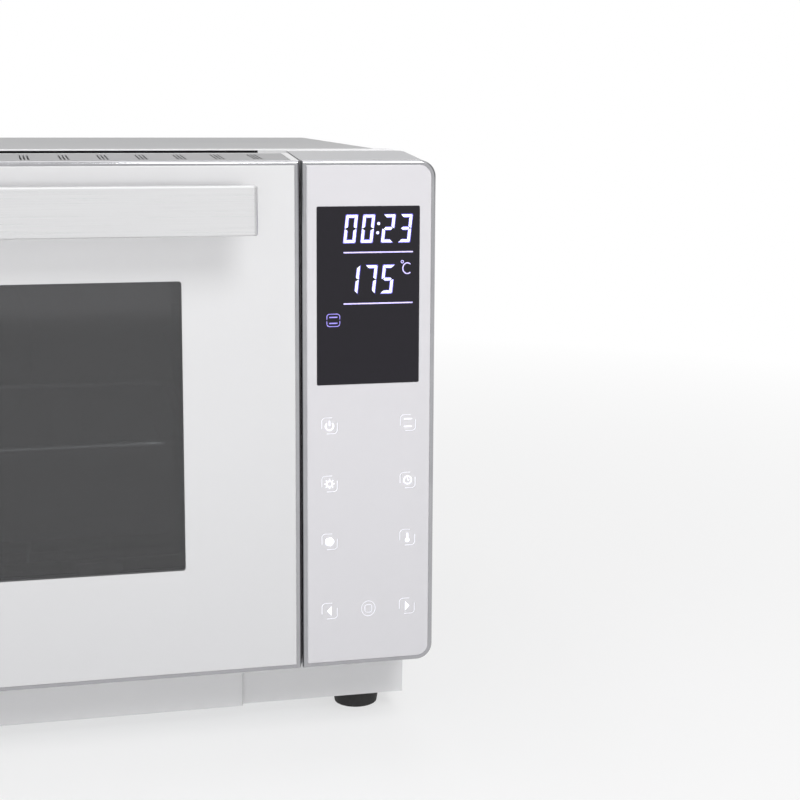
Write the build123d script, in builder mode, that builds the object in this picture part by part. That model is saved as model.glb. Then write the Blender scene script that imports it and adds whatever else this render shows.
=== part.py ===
from build123d import *
import os
from math import cos, radians, sin

# Mini oven. Sizes in millimetres. X runs left to right, Y front to back, Z up from the worktop.
# The origin is the middle of the footprint, on the worktop.

# Driving sizes of the front
front_width = 480
front_height = 250
front_lift = 47
front_corner = 8
front_depth = 46.5
front_crown = 3
overall_depth = 350
handle_reach = 33.5
panel_width = 65.5
door_seam = 1
door_thick = 37
glass_thick = 4
rim_width = 2.2
rim_step = 0.3

# Driving sizes of the cabinet
cabinet_inset = 4.5
cabinet_top = 300
cabinet_corner = 10
trim_bead = 1
trim_depth = 3
sheet = 1
plate = 1.5
foot_height = 12
foot_radius = 13.5
foot_inset_x = 25.5
foot_front_inset = 23
foot_rear_inset = 43
foot_taper = 2
rear_recess = 7.5
vent_width = 3

# Driving sizes of the cavity and what it holds
cavity_side = 41.75
cavity_height = 182
cavity_floor = 80
cavity_rear_space = 41
cavity_corner = 6
heater_radius = 3.25
heater_top_gap = 12
heater_floor_gap = 8
heater_front_gap = 31.5
heater_back_gap = 48.5
rack_wire = 2
rack_bar = 1.25
rack_gap = 3.25
rib_reach = 8
rib_height = 3
rib_front_gap = 12
rib_back_gap = 28
rib_first = 32
rib_pitch = 36
fan_height = 171
fan_cover_radius = 78
fan_cover_depth = 24
impeller_radius = 52
shaft_radius = 3
motor_radius = 28
lamp_radius = 17

# Driving sizes of the door
window_side = 56
window_top = 56
window_bottom = 54
handle_height = 22.4
handle_thick = 8
handle_side = 24
handle_drop = 10
post_radius = 6
post_inset = 30
frame_wall = 1.5
rail_end = 3.5
hinge_rise = 7
hinge_back = 9
hinge_side = 15.5
arm_thick = 2.5
pin_radius = 2

# Clearances
running = 0.05
clearance = 0.4
tray_gap = 0.8
slot_gap = 1

# Places worked out from the sizes
left_x = -front_width / 2
right_x = front_width / 2
panel_left = right_x - panel_width
door_right = panel_left - door_seam
door_middle = (left_x + door_right) / 2
front_y = handle_reach - overall_depth / 2
rear_y = overall_depth / 2
glass_back = front_y + glass_thick
cabinet_y = front_y + front_depth
door_back = front_y + door_thick
door_top = front_lift + front_height
side_x = right_x - cabinet_inset
rear_cover_y = rear_y - rear_recess
cavity_left = left_x + cavity_side
cavity_right = door_right - cavity_side
cavity_top = cavity_floor + cavity_height
frame_back = cabinet_y + plate
cavity_back = rear_cover_y - cavity_rear_space
cavity_depth = cavity_back - frame_back
window_left = left_x + window_side
window_right = door_right - window_side
window_low = front_lift + window_bottom
window_high = door_top - window_top
pivot_y = front_y + hinge_back
pivot_z = front_lift + hinge_rise


def facing(y):
    """Plane across the oven at depth y: sketch x is X, sketch y is Z, extrusion comes forward."""
    return Plane(origin=(0, y, 0), x_dir=(1, 0, 0), z_dir=(0, -1, 0))


def sideways(x):
    """Plane at X = x: sketch x is Y, sketch y is Z, extrusion goes to the right."""
    return Plane(origin=(x, 0, 0), x_dir=(0, 1, 0), z_dir=(1, 0, 0))


def area(left, right, low, high, corner=0):
    """Rectangle by its edges, with rounded corners if asked."""
    with Locations(((left + right) / 2, (low + high) / 2)):
        if corner > 0:
            RectangleRounded(right - left, high - low, corner)
        else:
            Rectangle(right - left, high - low)


def front_outline(y, left, right, low, high, left_corner, right_corner):
    """Outline on a plane across the oven, with its own radius at the left and right corners."""
    with BuildSketch(facing(y)) as outline:
        area(left, right, low, high)
        if left_corner > 0:
            fillet(outline.vertices().group_by(Axis.X)[0], left_corner)
        if right_corner > 0:
            fillet(outline.vertices().group_by(Axis.X)[-1], right_corner)
    return outline.sketch


def crown_at(y):
    """Height of the front assembly's sloping top at depth y."""
    return door_top + front_crown * (y - glass_back) / (cabinet_y - glass_back)


def save(builder, name):
    builder.part.label = name
    export_step(builder.part, f"parts/{name}.step")


os.makedirs("parts", exist_ok=True)

# Cabinet shell: one sheet folded over the top and both sides
shell_front = cabinet_y + trim_depth
side_vent_inset = 75
side_vent_drop = 90
with BuildPart() as cabinet_shell:
    with BuildSketch(facing(rear_y)) as shell_outline:
        area(-side_x, side_x, foot_height, cabinet_top)
        fillet(shell_outline.vertices().group_by(Axis.Y)[-1], cabinet_corner)
        with BuildSketch(facing(rear_y), mode=Mode.SUBTRACT) as shell_inside:
            area(sheet - side_x, side_x - sheet, foot_height, cabinet_top - sheet)
            fillet(shell_inside.vertices().group_by(Axis.Y)[-1], cabinet_corner - sheet)
    extrude(amount=rear_y - shell_front)
    with BuildSketch(sideways(side_x + sheet)):
        with GridLocations(12, 40, 9, 2):
            with Locations((rear_y - side_vent_inset, cabinet_top - side_vent_drop)):
                SlotOverall(30, vent_width, rotation=90)
    extrude(amount=-3 * sheet, mode=Mode.SUBTRACT)
save(cabinet_shell, "cabinet_shell")

# Rolled trim that finishes the front edge of the shell
trim_low = front_lift + 15
with BuildPart() as cabinet_trim:
    with BuildSketch(facing(shell_front)) as trim_outline:
        area(-side_x - trim_bead, side_x + trim_bead, trim_low, cabinet_top + trim_bead)
        fillet(trim_outline.vertices().group_by(Axis.Y)[-1], cabinet_corner + trim_bead)
        with BuildSketch(facing(shell_front), mode=Mode.SUBTRACT) as trim_inside:
            area(sheet - side_x, side_x - sheet, trim_low, cabinet_top - sheet)
            fillet(trim_inside.vertices().group_by(Axis.Y)[-1], cabinet_corner - sheet)
    extrude(amount=trim_depth)
    trim_outer = cabinet_trim.edges().filter_by(GeomType.LINE).filter_by(Axis.X)
    fillet(trim_outer.group_by(Axis.Z)[-1], trim_bead * 0.9)
save(cabinet_trim, "cabinet_trim")

# Plinth: the strip of the cabinet's front that shows under the door, with the tray's opening
tray_left = left_x + handle_side
tray_right = door_right - handle_side
tray_top = front_lift - 4.5
with BuildPart() as plinth:
    with BuildSketch(facing(frame_back)):
        area(-side_x, side_x, foot_height, trim_low - 0.2)
        with BuildSketch(facing(frame_back), mode=Mode.SUBTRACT):
            area(tray_left + 1.5, tray_right - 1.5, foot_height + 2.2, tray_top - 1)
    extrude(amount=plate)
save(plinth, "plinth")

# Front frame round the cavity mouth, with an opening for the control panel's wires
wire_left = panel_left + 12
wire_right = side_x - 14
wire_low = 110
wire_high = 210
with BuildPart() as front_frame:
    with BuildSketch(facing(frame_back)) as frame_outline:
        area(sheet - side_x, side_x - sheet, trim_low, cabinet_top - sheet)
        fillet(frame_outline.vertices().group_by(Axis.Y)[-1], cabinet_corner - sheet)
        with BuildSketch(facing(frame_back), mode=Mode.SUBTRACT):
            area(cavity_left, cavity_right, cavity_floor, cavity_top, cavity_corner)
            area(wire_left, wire_right, wire_low, wire_high, 4)
    extrude(amount=plate)
save(front_frame, "front_frame")

# Base pan with turned-up sides, cooling slots and holes for the foot screws
foot_x = right_x - foot_inset_x
foot_front_y = cabinet_y + foot_front_inset
foot_rear_y = rear_y - foot_rear_inset
board_y = 20
pan_lip = 16
foot_screw_radius = 2.5
base_vent_inset = 45.5
pan_edge = side_x - sheet - 0.2
with BuildPart() as base_pan:
    with BuildSketch(facing(rear_cover_y)):
        area(-pan_edge, pan_edge, foot_height, foot_height + sheet)
        area(-pan_edge, -pan_edge + sheet, foot_height, foot_height + pan_lip)
        area(pan_edge - sheet, pan_edge, foot_height, foot_height + pan_lip)
    extrude(amount=rear_cover_y - frame_back)
    with BuildSketch(Plane.XY.offset(foot_height - sheet)):
        with Locations((side_x - base_vent_inset, board_y + 20)):
            with GridLocations(12, 50, 5, 2):
                SlotOverall(34, vent_width, rotation=90)
        for x in (-foot_x, foot_x):
            with Locations((x, foot_front_y), (x, foot_rear_y)):
                Circle(foot_screw_radius + clearance)
    extrude(amount=3 * sheet, mode=Mode.SUBTRACT)
save(base_pan, "base_pan")

# Rear cover, set into the shell, with vent slots and the cord gland's hole
gland_x = side_x - 60.5
gland_z = foot_height + 43
gland_radius = 8
cord_radius = 4
rear_vent_z = cabinet_top - 100
rear_cover_edge = side_x - sheet - 0.2
with BuildPart() as rear_cover:
    with BuildSketch(facing(rear_cover_y + plate)) as rear_outline:
        area(-rear_cover_edge, rear_cover_edge, foot_height, cabinet_top - sheet - 0.2)
        fillet(rear_outline.vertices().group_by(Axis.Y)[-1], cabinet_corner - sheet)
        with BuildSketch(facing(rear_cover_y + plate), mode=Mode.SUBTRACT):
            with Locations((door_middle, fan_height)):
                with GridLocations(14, 48, 9, 3):
                    SlotOverall(36, 4, rotation=90)
            with Locations((gland_x, rear_vent_z)):
                with GridLocations(12, 48, 6, 3):
                    SlotOverall(36, 4, rotation=90)
            with Locations((gland_x, gland_z)):
                Circle(gland_radius)
    extrude(amount=plate)
save(rear_cover, "rear_cover")

# Cord gland: a moulded bush with a flange on each side of the rear cover
with BuildPart() as cord_gland:
    with BuildSketch(facing(rear_y)):
        with Locations((gland_x, gland_z)):
            Circle(gland_radius + 3)
            Circle(cord_radius, mode=Mode.SUBTRACT)
    extrude(amount=rear_y - rear_cover_y - plate)
    gland_rim = cord_gland.faces().sort_by(Axis.Y)[-1].edges().filter_by(GeomType.CIRCLE).sort_by(SortBy.RADIUS)[-1]
    fillet(gland_rim, 2)
    with BuildSketch(facing(rear_cover_y + plate)):
        with Locations((gland_x, gland_z)):
            Circle(gland_radius)
            Circle(cord_radius, mode=Mode.SUBTRACT)
    extrude(amount=plate)
    with BuildSketch(facing(rear_cover_y)):
        with Locations((gland_x, gland_z)):
            Circle(gland_radius + 2)
            Circle(cord_radius, mode=Mode.SUBTRACT)
    extrude(amount=4)
save(cord_gland, "cord_gland")

# Screws that hold the rear cover
screw_inset = 9
with BuildPart() as rear_screws:
    for x in (-rear_cover_edge + screw_inset, 0, rear_cover_edge - screw_inset):
        for z in (foot_height + screw_inset, cabinet_top - screw_inset - 4):
            with BuildSketch(facing(rear_cover_y + plate)):
                with Locations((x, z)):
                    Circle(3.5)
            extrude(amount=-2)
save(rear_screws, "rear_screws")

# Four rubber feet, tapered, each with a recess for its screw
foot_names = (
    ("foot_front_left", -foot_x, foot_front_y),
    ("foot_front_right", foot_x, foot_front_y),
    ("foot_rear_left", -foot_x, foot_rear_y),
    ("foot_rear_right", foot_x, foot_rear_y),
)
for foot_name, x, y in foot_names:
    with BuildPart() as foot:
        with BuildSketch(Plane.XY) as foot_bottom:
            with Locations((x, y)):
                Circle(foot_radius - foot_taper)
        with BuildSketch(Plane.XY.offset(foot_height)) as foot_seat:
            with Locations((x, y)):
                Circle(foot_radius)
        loft()
        with BuildSketch(Plane.XY):
            with Locations((x, y)):
                Circle(6)
        extrude(amount=foot_height - 4, mode=Mode.SUBTRACT)
        with BuildSketch(Plane.XY):
            with Locations((x, y)):
                Circle(foot_screw_radius)
        extrude(amount=foot_height, mode=Mode.SUBTRACT)
    save(foot, foot_name)

# Screws up through the feet into the base pan
with BuildPart() as foot_screws:
    for foot_name, x, y in foot_names:
        with BuildSketch(Plane.XY.offset(foot_height - 7)):
            with Locations((x, y)):
                Circle(5)
        extrude(amount=3)
        with BuildSketch(Plane.XY.offset(foot_height - 4)):
            with Locations((x, y)):
                Circle(foot_screw_radius - running)
        extrude(amount=4 + sheet)
save(foot_screws, "foot_screws")

# Places of what passes through the cavity's right wall; the middle loop of a rod is a little shorter than the others
heater_first = frame_back + heater_front_gap
heater_last = cavity_back - heater_back_gap
heater_middle = (heater_first + heater_last) / 2
middle_loop = (heater_last - heater_first) * 44 / 140
heater_legs = (heater_first, heater_middle - middle_loop / 2, heater_middle + middle_loop / 2, heater_last)
upper_heater_z = cavity_top - heater_top_gap
lower_heater_z = cavity_floor + heater_floor_gap
lamp_y = cavity_back - 62
lamp_z = cavity_top - 42
probe_y = cavity_back - 106.5
probe_z = cavity_top - 28
probe_radius = 2

# Cavity liner: an open box with pressed supports for the rack and tray, and holes for the rods, lamp, probe and shaft
rib_length = cavity_depth - rib_front_gap - rib_back_gap
rib_y = frame_back + rib_front_gap + rib_length / 2
rib_levels = [cavity_floor + rib_first + rib_pitch * level for level in range(3)]
floor_hole_side = 47
floor_hole_front = 30
floor_hole_back = 50
with BuildPart() as cavity_liner:
    with BuildSketch(facing(cavity_back + sheet)):
        area(cavity_left - sheet, cavity_right + sheet, cavity_floor - sheet, cavity_top + sheet, cavity_corner + sheet)
    extrude(amount=cavity_depth + sheet)
    with BuildSketch(facing(cavity_back)):
        area(cavity_left, cavity_right, cavity_floor, cavity_top, cavity_corner)
    extrude(amount=cavity_depth, mode=Mode.SUBTRACT)
    for z in rib_levels:
        for x, turn in ((cavity_left, 1), (cavity_right, -1)):
            with BuildSketch(Plane.XY.offset(z - rib_height)) as rib:
                with Locations((x + turn * (rib_reach / 2 - sheet / 4), rib_y)):
                    Rectangle(rib_reach + sheet / 2, rib_length)
                if turn > 0:
                    fillet(rib.vertices().group_by(Axis.X)[-1], 5)
                else:
                    fillet(rib.vertices().group_by(Axis.X)[0], 5)
            extrude(amount=rib_height)
    with BuildSketch(Plane.XY.offset(cavity_floor - 2 * sheet)):
        area(
            cavity_left + floor_hole_side, cavity_right - floor_hole_side,
            frame_back + floor_hole_front, cavity_back - floor_hole_back, 8,
        )
    extrude(amount=2 * sheet + 0.5, mode=Mode.SUBTRACT)
    with BuildSketch(facing(cavity_back + 2 * sheet)):
        with Locations((door_middle, fan_height)):
            Circle(shaft_radius + 3)
    extrude(amount=3 * sheet, mode=Mode.SUBTRACT)
    with BuildSketch(sideways(cavity_right - sheet)):
        for z in (upper_heater_z, lower_heater_z):
            with Locations((heater_legs[0], z), (heater_legs[-1], z)):
                Circle(heater_radius + running)
        with Locations((lamp_y, lamp_z)):
            Circle(lamp_radius - 2)
        with Locations((probe_y, probe_z)):
            Circle(probe_radius + 0.5)
    extrude(amount=3 * sheet, mode=Mode.SUBTRACT)
save(cavity_liner, "cavity_liner")

# Heating elements: a rod bent back and forth, its two ends through the right wall
heater_left = cavity_left + 22
heater_inner = cavity_right - 40
heater_end = cavity_right + 14
heater_bend = 16


def make_heater(name, z):
    """Heating element in one level plane: four legs joined by round bends."""
    first, second, third, fourth = heater_legs
    route = [
        (heater_end, first, z), (heater_left, first, z), (heater_left, second, z), (heater_inner, second, z),
        (heater_inner, third, z), (heater_left, third, z), (heater_left, fourth, z), (heater_end, fourth, z),
    ]
    with BuildPart() as heater:
        with BuildLine() as heater_path:
            FilletPolyline(*route, radius=heater_bend)
        with BuildSketch(Plane(origin=route[0], z_dir=(-1, 0, 0))):
            Circle(heater_radius)
        sweep()
    save(heater, name)


make_heater("upper_heater", upper_heater_z)
make_heater("lower_heater", lower_heater_z)

# Clips that hold the elements to the cavity's top and floor
clip_thick = 1.2
clip_inset = 90
clip_lap = 6
clip_places = (cavity_left + clip_inset, cavity_right - clip_inset)
with BuildPart() as heater_clips:
    for low, high, rod_z, corner in (
        (cavity_floor, lower_heater_z + clip_lap, lower_heater_z, 1),
        (upper_heater_z - clip_lap, cavity_top, upper_heater_z, 2),
    ):
        for x in clip_places:
            with BuildSketch(sideways(x)):
                area(heater_legs[0] - 9, heater_legs[-1] + 9, low, high, corner)
                with BuildSketch(sideways(x), mode=Mode.SUBTRACT):
                    with Locations(*[(y, rod_z) for y in heater_legs]):
                        Circle(heater_radius + running)
            extrude(amount=clip_thick)
save(heater_clips, "heater_clips")

# Ceramic bushes where the rods leave the cavity
bush_radius = 6.5
with BuildPart() as heater_bushes:
    for z in (upper_heater_z, lower_heater_z):
        for y in (heater_legs[0], heater_legs[-1]):
            with BuildSketch(sideways(cavity_right + sheet)):
                with Locations((y, z)):
                    Circle(bush_radius)
                    Circle(heater_radius + running, mode=Mode.SUBTRACT)
            extrude(amount=9)
save(heater_bushes, "heater_bushes")

# Lamp: glass lens in the cavity wall, bulb and socket behind it
with BuildPart() as lamp_lens:
    with BuildSketch(sideways(cavity_right)):
        with Locations((lamp_y, lamp_z)):
            Circle(lamp_radius)
    extrude(amount=-5)
    fillet(lamp_lens.edges().group_by(Axis.X)[0], 3)
    with BuildSketch(sideways(cavity_right)):
        with Locations((lamp_y, lamp_z)):
            Circle(lamp_radius - 3)
    extrude(amount=-3, mode=Mode.SUBTRACT)
save(lamp_lens, "lamp_lens")

socket_depth = 20
socket_wall = 3
with BuildPart() as lamp_socket:
    with BuildSketch(sideways(cavity_right + sheet)):
        with Locations((lamp_y, lamp_z)):
            Circle(lamp_radius + socket_wall)
            Circle(lamp_radius - socket_wall, mode=Mode.SUBTRACT)
    extrude(amount=socket_depth)
    with BuildSketch(sideways(cavity_right + sheet + socket_depth)):
        with Locations((lamp_y, lamp_z)):
            Circle(lamp_radius + socket_wall)
    extrude(amount=5)
save(lamp_socket, "lamp_socket")

bulb_radius = 7
with BuildPart() as lamp_bulb:
    with BuildSketch(sideways(cavity_right + sheet + 2)):
        with Locations((lamp_y, lamp_z)):
            Circle(bulb_radius)
    extrude(amount=socket_depth - 2)
    fillet(lamp_bulb.edges().group_by(Axis.X)[0], bulb_radius - 1)
save(lamp_bulb, "lamp_bulb")

# Temperature probe through the right wall
probe_length = 34
with BuildPart() as temperature_probe:
    with BuildSketch(sideways(cavity_right - probe_length)):
        with Locations((probe_y, probe_z)):
            Circle(probe_radius)
    extrude(amount=probe_length + sheet)
    fillet(temperature_probe.edges().group_by(Axis.X)[0], 1.5)
    with BuildSketch(sideways(cavity_right + sheet)):
        with Locations((probe_y, probe_z)):
            Circle(5)
    extrude(amount=4)
save(temperature_probe, "temperature_probe")

# Wire rack: a bent frame wire with straight bars across it
rack_z = rib_levels[1] + rack_wire
rack_left = cavity_left + rack_gap + rack_wire
rack_right = cavity_right - rack_gap - rack_wire
rack_front = rib_y - rib_length / 2 + 4
rack_back = rib_y + rib_length / 2 - 4
rack_corner = 14
bar_pitch = 19
with BuildPart() as wire_rack:
    with BuildLine() as rack_path:
        FilletPolyline(
            (rack_left, rack_front, rack_z), (rack_right, rack_front, rack_z),
            (rack_right, rack_back, rack_z), (rack_left, rack_back, rack_z),
            radius=rack_corner, close=True,
        )
    rack_loop = rack_path.wires()[0]
    with BuildSketch(Plane(origin=rack_loop @ 0, z_dir=rack_loop % 0)):
        Circle(rack_wire)
    sweep(path=rack_loop)
    bar_count = int((rack_right - rack_left - 2 * rack_corner) / bar_pitch) + 1
    with BuildSketch(facing(rack_back)):
        with Locations(((rack_left + rack_right) / 2, rack_z)):
            with GridLocations(bar_pitch, 1, bar_count, 1):
                Circle(rack_bar)
    extrude(amount=rack_back - rack_front)
save(wire_rack, "wire_rack")

# Baking tray: a shallow enamelled pan whose rim rests on the lowest supports
tray_rim_z = rib_levels[0]
bake_wall = 1
bake_depth = 13
bake_flange = 9
with BuildPart() as baking_tray:
    with BuildSketch(Plane.XY.offset(tray_rim_z)):
        with Locations(((rack_left + rack_right) / 2, rib_y)):
            RectangleRounded(rack_right - rack_left, rib_length - 8, 10)
    extrude(amount=bake_wall)
    with BuildSketch(Plane.XY.offset(tray_rim_z)):
        with Locations(((rack_left + rack_right) / 2, rib_y)):
            RectangleRounded(rack_right - rack_left - 2 * bake_flange, rib_length - 8 - 2 * bake_flange, 10)
    extrude(amount=-bake_depth, taper=8)
    with BuildSketch(Plane.XY.offset(tray_rim_z + bake_wall)):
        with Locations(((rack_left + rack_right) / 2, rib_y)):
            RectangleRounded(rack_right - rack_left - 2 * bake_flange - 2, rib_length - 10 - 2 * bake_flange, 9)
    extrude(amount=-bake_depth, taper=8, mode=Mode.SUBTRACT)
save(baking_tray, "baking_tray")

# Fan cover: a dished plate with a ring of slots and a centre grille
with BuildPart() as fan_cover:
    with BuildSketch(facing(cavity_back)):
        with Locations((door_middle, fan_height)):
            Circle(fan_cover_radius)
    extrude(amount=fan_cover_depth)
    fillet(fan_cover.edges().group_by(Axis.Y)[0], 6)
    offset(amount=-sheet, openings=fan_cover.faces().sort_by(Axis.Y)[-1])
    with BuildSketch(facing(cavity_back - fan_cover_depth + 2)):
        with Locations((door_middle, fan_height)):
            with PolarLocations(22, 10):
                SlotOverall(18, 4)
            with PolarLocations(52, 20):
                SlotOverall(24, 5)
    extrude(amount=4, mode=Mode.SUBTRACT)
save(fan_cover, "fan_cover")

# Convection fan: backplate, hub and a ring of curved blades, turning on the motor's shaft
blade_count = 12
blade_height = 11
blade_thick = 1.2
impeller_back = cavity_back - 4
with BuildPart() as fan_impeller:
    with BuildSketch(facing(impeller_back)):
        with Locations((door_middle, fan_height)):
            Circle(impeller_radius)
            Circle(shaft_radius, mode=Mode.SUBTRACT)
    extrude(amount=1.2)
    with BuildSketch(facing(impeller_back)):
        with Locations((door_middle, fan_height)):
            Circle(9)
            Circle(shaft_radius, mode=Mode.SUBTRACT)
    extrude(amount=10)
    for blade in range(blade_count):
        turn = 360 / blade_count * blade
        inner = (door_middle + 24 * cos(radians(turn)), fan_height + 24 * sin(radians(turn)))
        outer = (
            door_middle + (impeller_radius - 1) * cos(radians(turn + 22)),
            fan_height + (impeller_radius - 1) * sin(radians(turn + 22)),
        )
        with BuildSketch(facing(impeller_back)):
            with BuildLine() as blade_line:
                RadiusArc(inner, outer, 40)
            trace(blade_line.line, line_width=blade_thick)
        extrude(amount=blade_height)
save(fan_impeller, "fan_impeller")

motor_front = cavity_back + sheet + 5
motor_length = 26
with BuildPart() as fan_shaft:
    with BuildSketch(facing(motor_front + motor_length - 4)):
        with Locations((door_middle, fan_height)):
            Circle(shaft_radius)
    extrude(amount=motor_front + motor_length - 4 - impeller_back + 15)
save(fan_shaft, "fan_shaft")

with BuildPart() as fan_nut:
    with BuildSketch(facing(impeller_back - 10)):
        with Locations((door_middle, fan_height)):
            RegularPolygon(5.5, 6)
            Circle(shaft_radius, mode=Mode.SUBTRACT)
    extrude(amount=4)
save(fan_nut, "fan_nut")

with BuildPart() as fan_motor:
    with BuildSketch(facing(motor_front + motor_length)):
        with Locations((door_middle, fan_height)):
            Circle(motor_radius)
    extrude(amount=motor_length)
    fillet(fan_motor.edges().group_by(Axis.Y)[-1], 3)
    with BuildSketch(facing(motor_front + motor_length - 3)):
        with Locations((door_middle, fan_height)):
            Circle(shaft_radius + running)
    extrude(amount=motor_length, mode=Mode.SUBTRACT)
save(fan_motor, "fan_motor")

with BuildPart() as motor_bracket:
    with BuildSketch(facing(motor_front)):
        with Locations((door_middle, fan_height)):
            SlotOverall(100, 24)
            Circle(shaft_radius + 3, mode=Mode.SUBTRACT)
            with Locations((-44, 0), (44, 0)):
                Circle(2, mode=Mode.SUBTRACT)
    extrude(amount=2)
    with BuildSketch(facing(motor_front - 2)):
        with Locations((door_middle - 44, fan_height), (door_middle + 44, fan_height)):
            Circle(5)
    extrude(amount=motor_front - 2 - cavity_back - sheet)
save(motor_bracket, "motor_bracket")

# Heat shield between the cavity and the electronics
shield_x = cavity_right + 24
with BuildPart() as heat_shield:
    with BuildSketch(sideways(shield_x)):
        area(frame_back, rear_cover_y, foot_height + sheet, cabinet_top - sheet)
        with BuildSketch(sideways(shield_x), mode=Mode.SUBTRACT):
            area(motor_front - 160, motor_front - 60, cavity_floor, cavity_top - 60, 10)
            area(lamp_y - 26, lamp_y + 26, lamp_z - 26, lamp_z + 26, 10)
    extrude(amount=sheet)
save(heat_shield, "heat_shield")

# Power board on standoffs, with its tall components
board_width = 62
board_side_gap = 11.5
board_x = side_x - sheet - board_side_gap - board_width / 2
board_length = 150
board_z = foot_height + sheet + 15
board_thick = 1.6
with BuildPart() as board_standoffs:
    with BuildSketch(Plane.XY.offset(foot_height + sheet)):
        with Locations((board_x, board_y)):
            with GridLocations(board_width - 10, board_length - 10, 2, 2):
                Circle(3)
    extrude(amount=board_z - foot_height - sheet)
save(board_standoffs, "board_standoffs")

with BuildPart() as power_board:
    with BuildSketch(Plane.XY.offset(board_z)):
        with Locations((board_x, board_y)):
            RectangleRounded(board_width, board_length, 2)
    extrude(amount=board_thick)
save(power_board, "power_board")

with BuildPart() as transformer:
    with BuildSketch(Plane.XY.offset(board_z + board_thick)):
        with Locations((board_x, board_y + 48)):
            Rectangle(42, 34)
    extrude(amount=30)
    chamfer(transformer.edges().group_by(Axis.Z)[-1], 2)
save(transformer, "transformer")

with BuildPart() as relays:
    with BuildSketch(Plane.XY.offset(board_z + board_thick)):
        with Locations((board_x - 14, board_y - 30)):
            with GridLocations(1, 24, 1, 4):
                Rectangle(16, 19)
    extrude(amount=16)
    chamfer(relays.edges().group_by(Axis.Z)[-1], 1)
save(relays, "relays")

with BuildPart() as capacitors:
    with BuildSketch(Plane.XY.offset(board_z + board_thick)):
        with Locations((board_x + 16, board_y - 50), (board_x + 16, board_y - 28), (board_x + 16, board_y - 6)):
            Circle(7)
    extrude(amount=22)
    fillet(capacitors.edges().group_by(Axis.Z)[-1], 1.5)
save(capacitors, "capacitors")

# Crumb tray: pan and front in one body, sliding forward under the door
pan_left = tray_left + 3
pan_right = tray_right - 3
pan_low = foot_height + 4
pan_high = tray_top - 3
pan_back = cavity_back - 6
tray_front_thick = 3
pull_width = 90
pull_height = 10
with BuildPart() as crumb_tray_front:
    with BuildSketch(facing(cabinet_y - 0.1)):
        area(tray_left, tray_right, foot_height, tray_top)
    extrude(amount=tray_front_thick)
    fillet(crumb_tray_front.faces().sort_by(Axis.Y)[0].edges(), 0.8)
    with BuildSketch(facing(cabinet_y)):
        with Locations(((tray_left + tray_right) / 2, foot_height)):
            SlotOverall(pull_width, pull_height)
    extrude(amount=1.6, mode=Mode.SUBTRACT)
save(crumb_tray_front, "crumb_tray_front")

with BuildPart() as crumb_tray_pan:
    with BuildSketch(Plane.XY.offset(pan_low)):
        area(pan_left, pan_right, cabinet_y - 0.1, pan_back, 3)
    extrude(amount=pan_high - pan_low)
    with BuildSketch(Plane.XY.offset(pan_low + sheet)):
        area(pan_left + sheet, pan_right - sheet, cabinet_y - 0.1 + sheet, pan_back - sheet, 2)
    extrude(amount=pan_high - pan_low, mode=Mode.SUBTRACT)
save(crumb_tray_pan, "crumb_tray_pan")

# Guides that carry the crumb tray
with BuildPart() as tray_guides:
    for wall_x, turn in ((pan_left - tray_gap, 1), (pan_right + tray_gap, -1)):
        with BuildSketch(facing(pan_back)):
            with BuildLine():
                Polyline(
                    (wall_x - 1.5 * turn, foot_height + sheet), (wall_x + 14 * turn, foot_height + sheet),
                    (wall_x + 14 * turn, pan_low - 0.1), (wall_x, pan_low - 0.1),
                    (wall_x, pan_high - 4), (wall_x - 1.5 * turn, pan_high - 4), close=True,
                )
            make_face()
        extrude(amount=pan_back - frame_back - 2)
save(tray_guides, "tray_guides")

# Door seal round the cavity mouth
seal_gap = 6
seal_width = 6
with BuildPart() as door_seal:
    with BuildSketch(facing(cabinet_y)):
        area(
            cavity_left - seal_gap - seal_width, cavity_right + seal_gap + seal_width,
            cavity_floor - seal_width, cavity_top + seal_gap + seal_width, 12,
        )
        with BuildSketch(facing(cabinet_y), mode=Mode.SUBTRACT):
            area(cavity_left - seal_gap, cavity_right + seal_gap, cavity_floor, cavity_top + seal_gap, 6)
    extrude(amount=cabinet_y - door_back - clearance)
    fillet(door_seal.faces().sort_by(Axis.Y)[0].edges(), 1.5)
save(door_seal, "door_seal")

# Control housing: a tapered box with rounded right corners and bosses for the touch board
board_front = cabinet_y - 33
housing_wall = 2
boss_radius = 3
with BuildPart() as control_housing:
    housing_mouth = front_outline(glass_back, panel_left, right_x, front_lift, door_top, 0, front_corner)
    housing_back = front_outline(
        cabinet_y, panel_left, right_x, front_lift, door_top + front_crown, 0, front_corner,
    )
    loft(sections=(housing_mouth, housing_back))
    with BuildSketch(facing(cabinet_y - housing_wall)):
        area(panel_left + housing_wall, right_x - housing_wall, front_lift + housing_wall, door_top - housing_wall, 4)
    extrude(amount=front_depth, mode=Mode.SUBTRACT)
    with BuildSketch(facing(cabinet_y + 1)):
        area(wire_left, wire_right, wire_low, wire_high, 4)
    extrude(amount=housing_wall + 2, mode=Mode.SUBTRACT)
    with BuildSketch(facing(cabinet_y - housing_wall)):
        for x in (panel_left + 10, right_x - 10):
            with Locations((x, front_lift + 16), (x, door_top - 12)):
                Circle(boss_radius)
    extrude(amount=cabinet_y - housing_wall - board_front)
save(control_housing, "control_housing")

# Metal rim and glass of the control panel
rim_front = front_y + rim_step
panel_outer = front_outline(glass_back, panel_left, right_x, front_lift, door_top, 0, front_corner)
panel_inner = front_outline(
    glass_back, panel_left + rim_width, right_x - rim_width,
    front_lift + rim_width, door_top - rim_width, 0, front_corner - rim_width,
)
with BuildPart() as control_rim:
    extrude(panel_outer, amount=glass_back - rim_front)
    fillet(control_rim.faces().sort_by(Axis.Y)[0].edges(), rim_width * 0.6)
    extrude(panel_inner, amount=glass_thick, mode=Mode.SUBTRACT)
save(control_rim, "control_rim")

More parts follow.
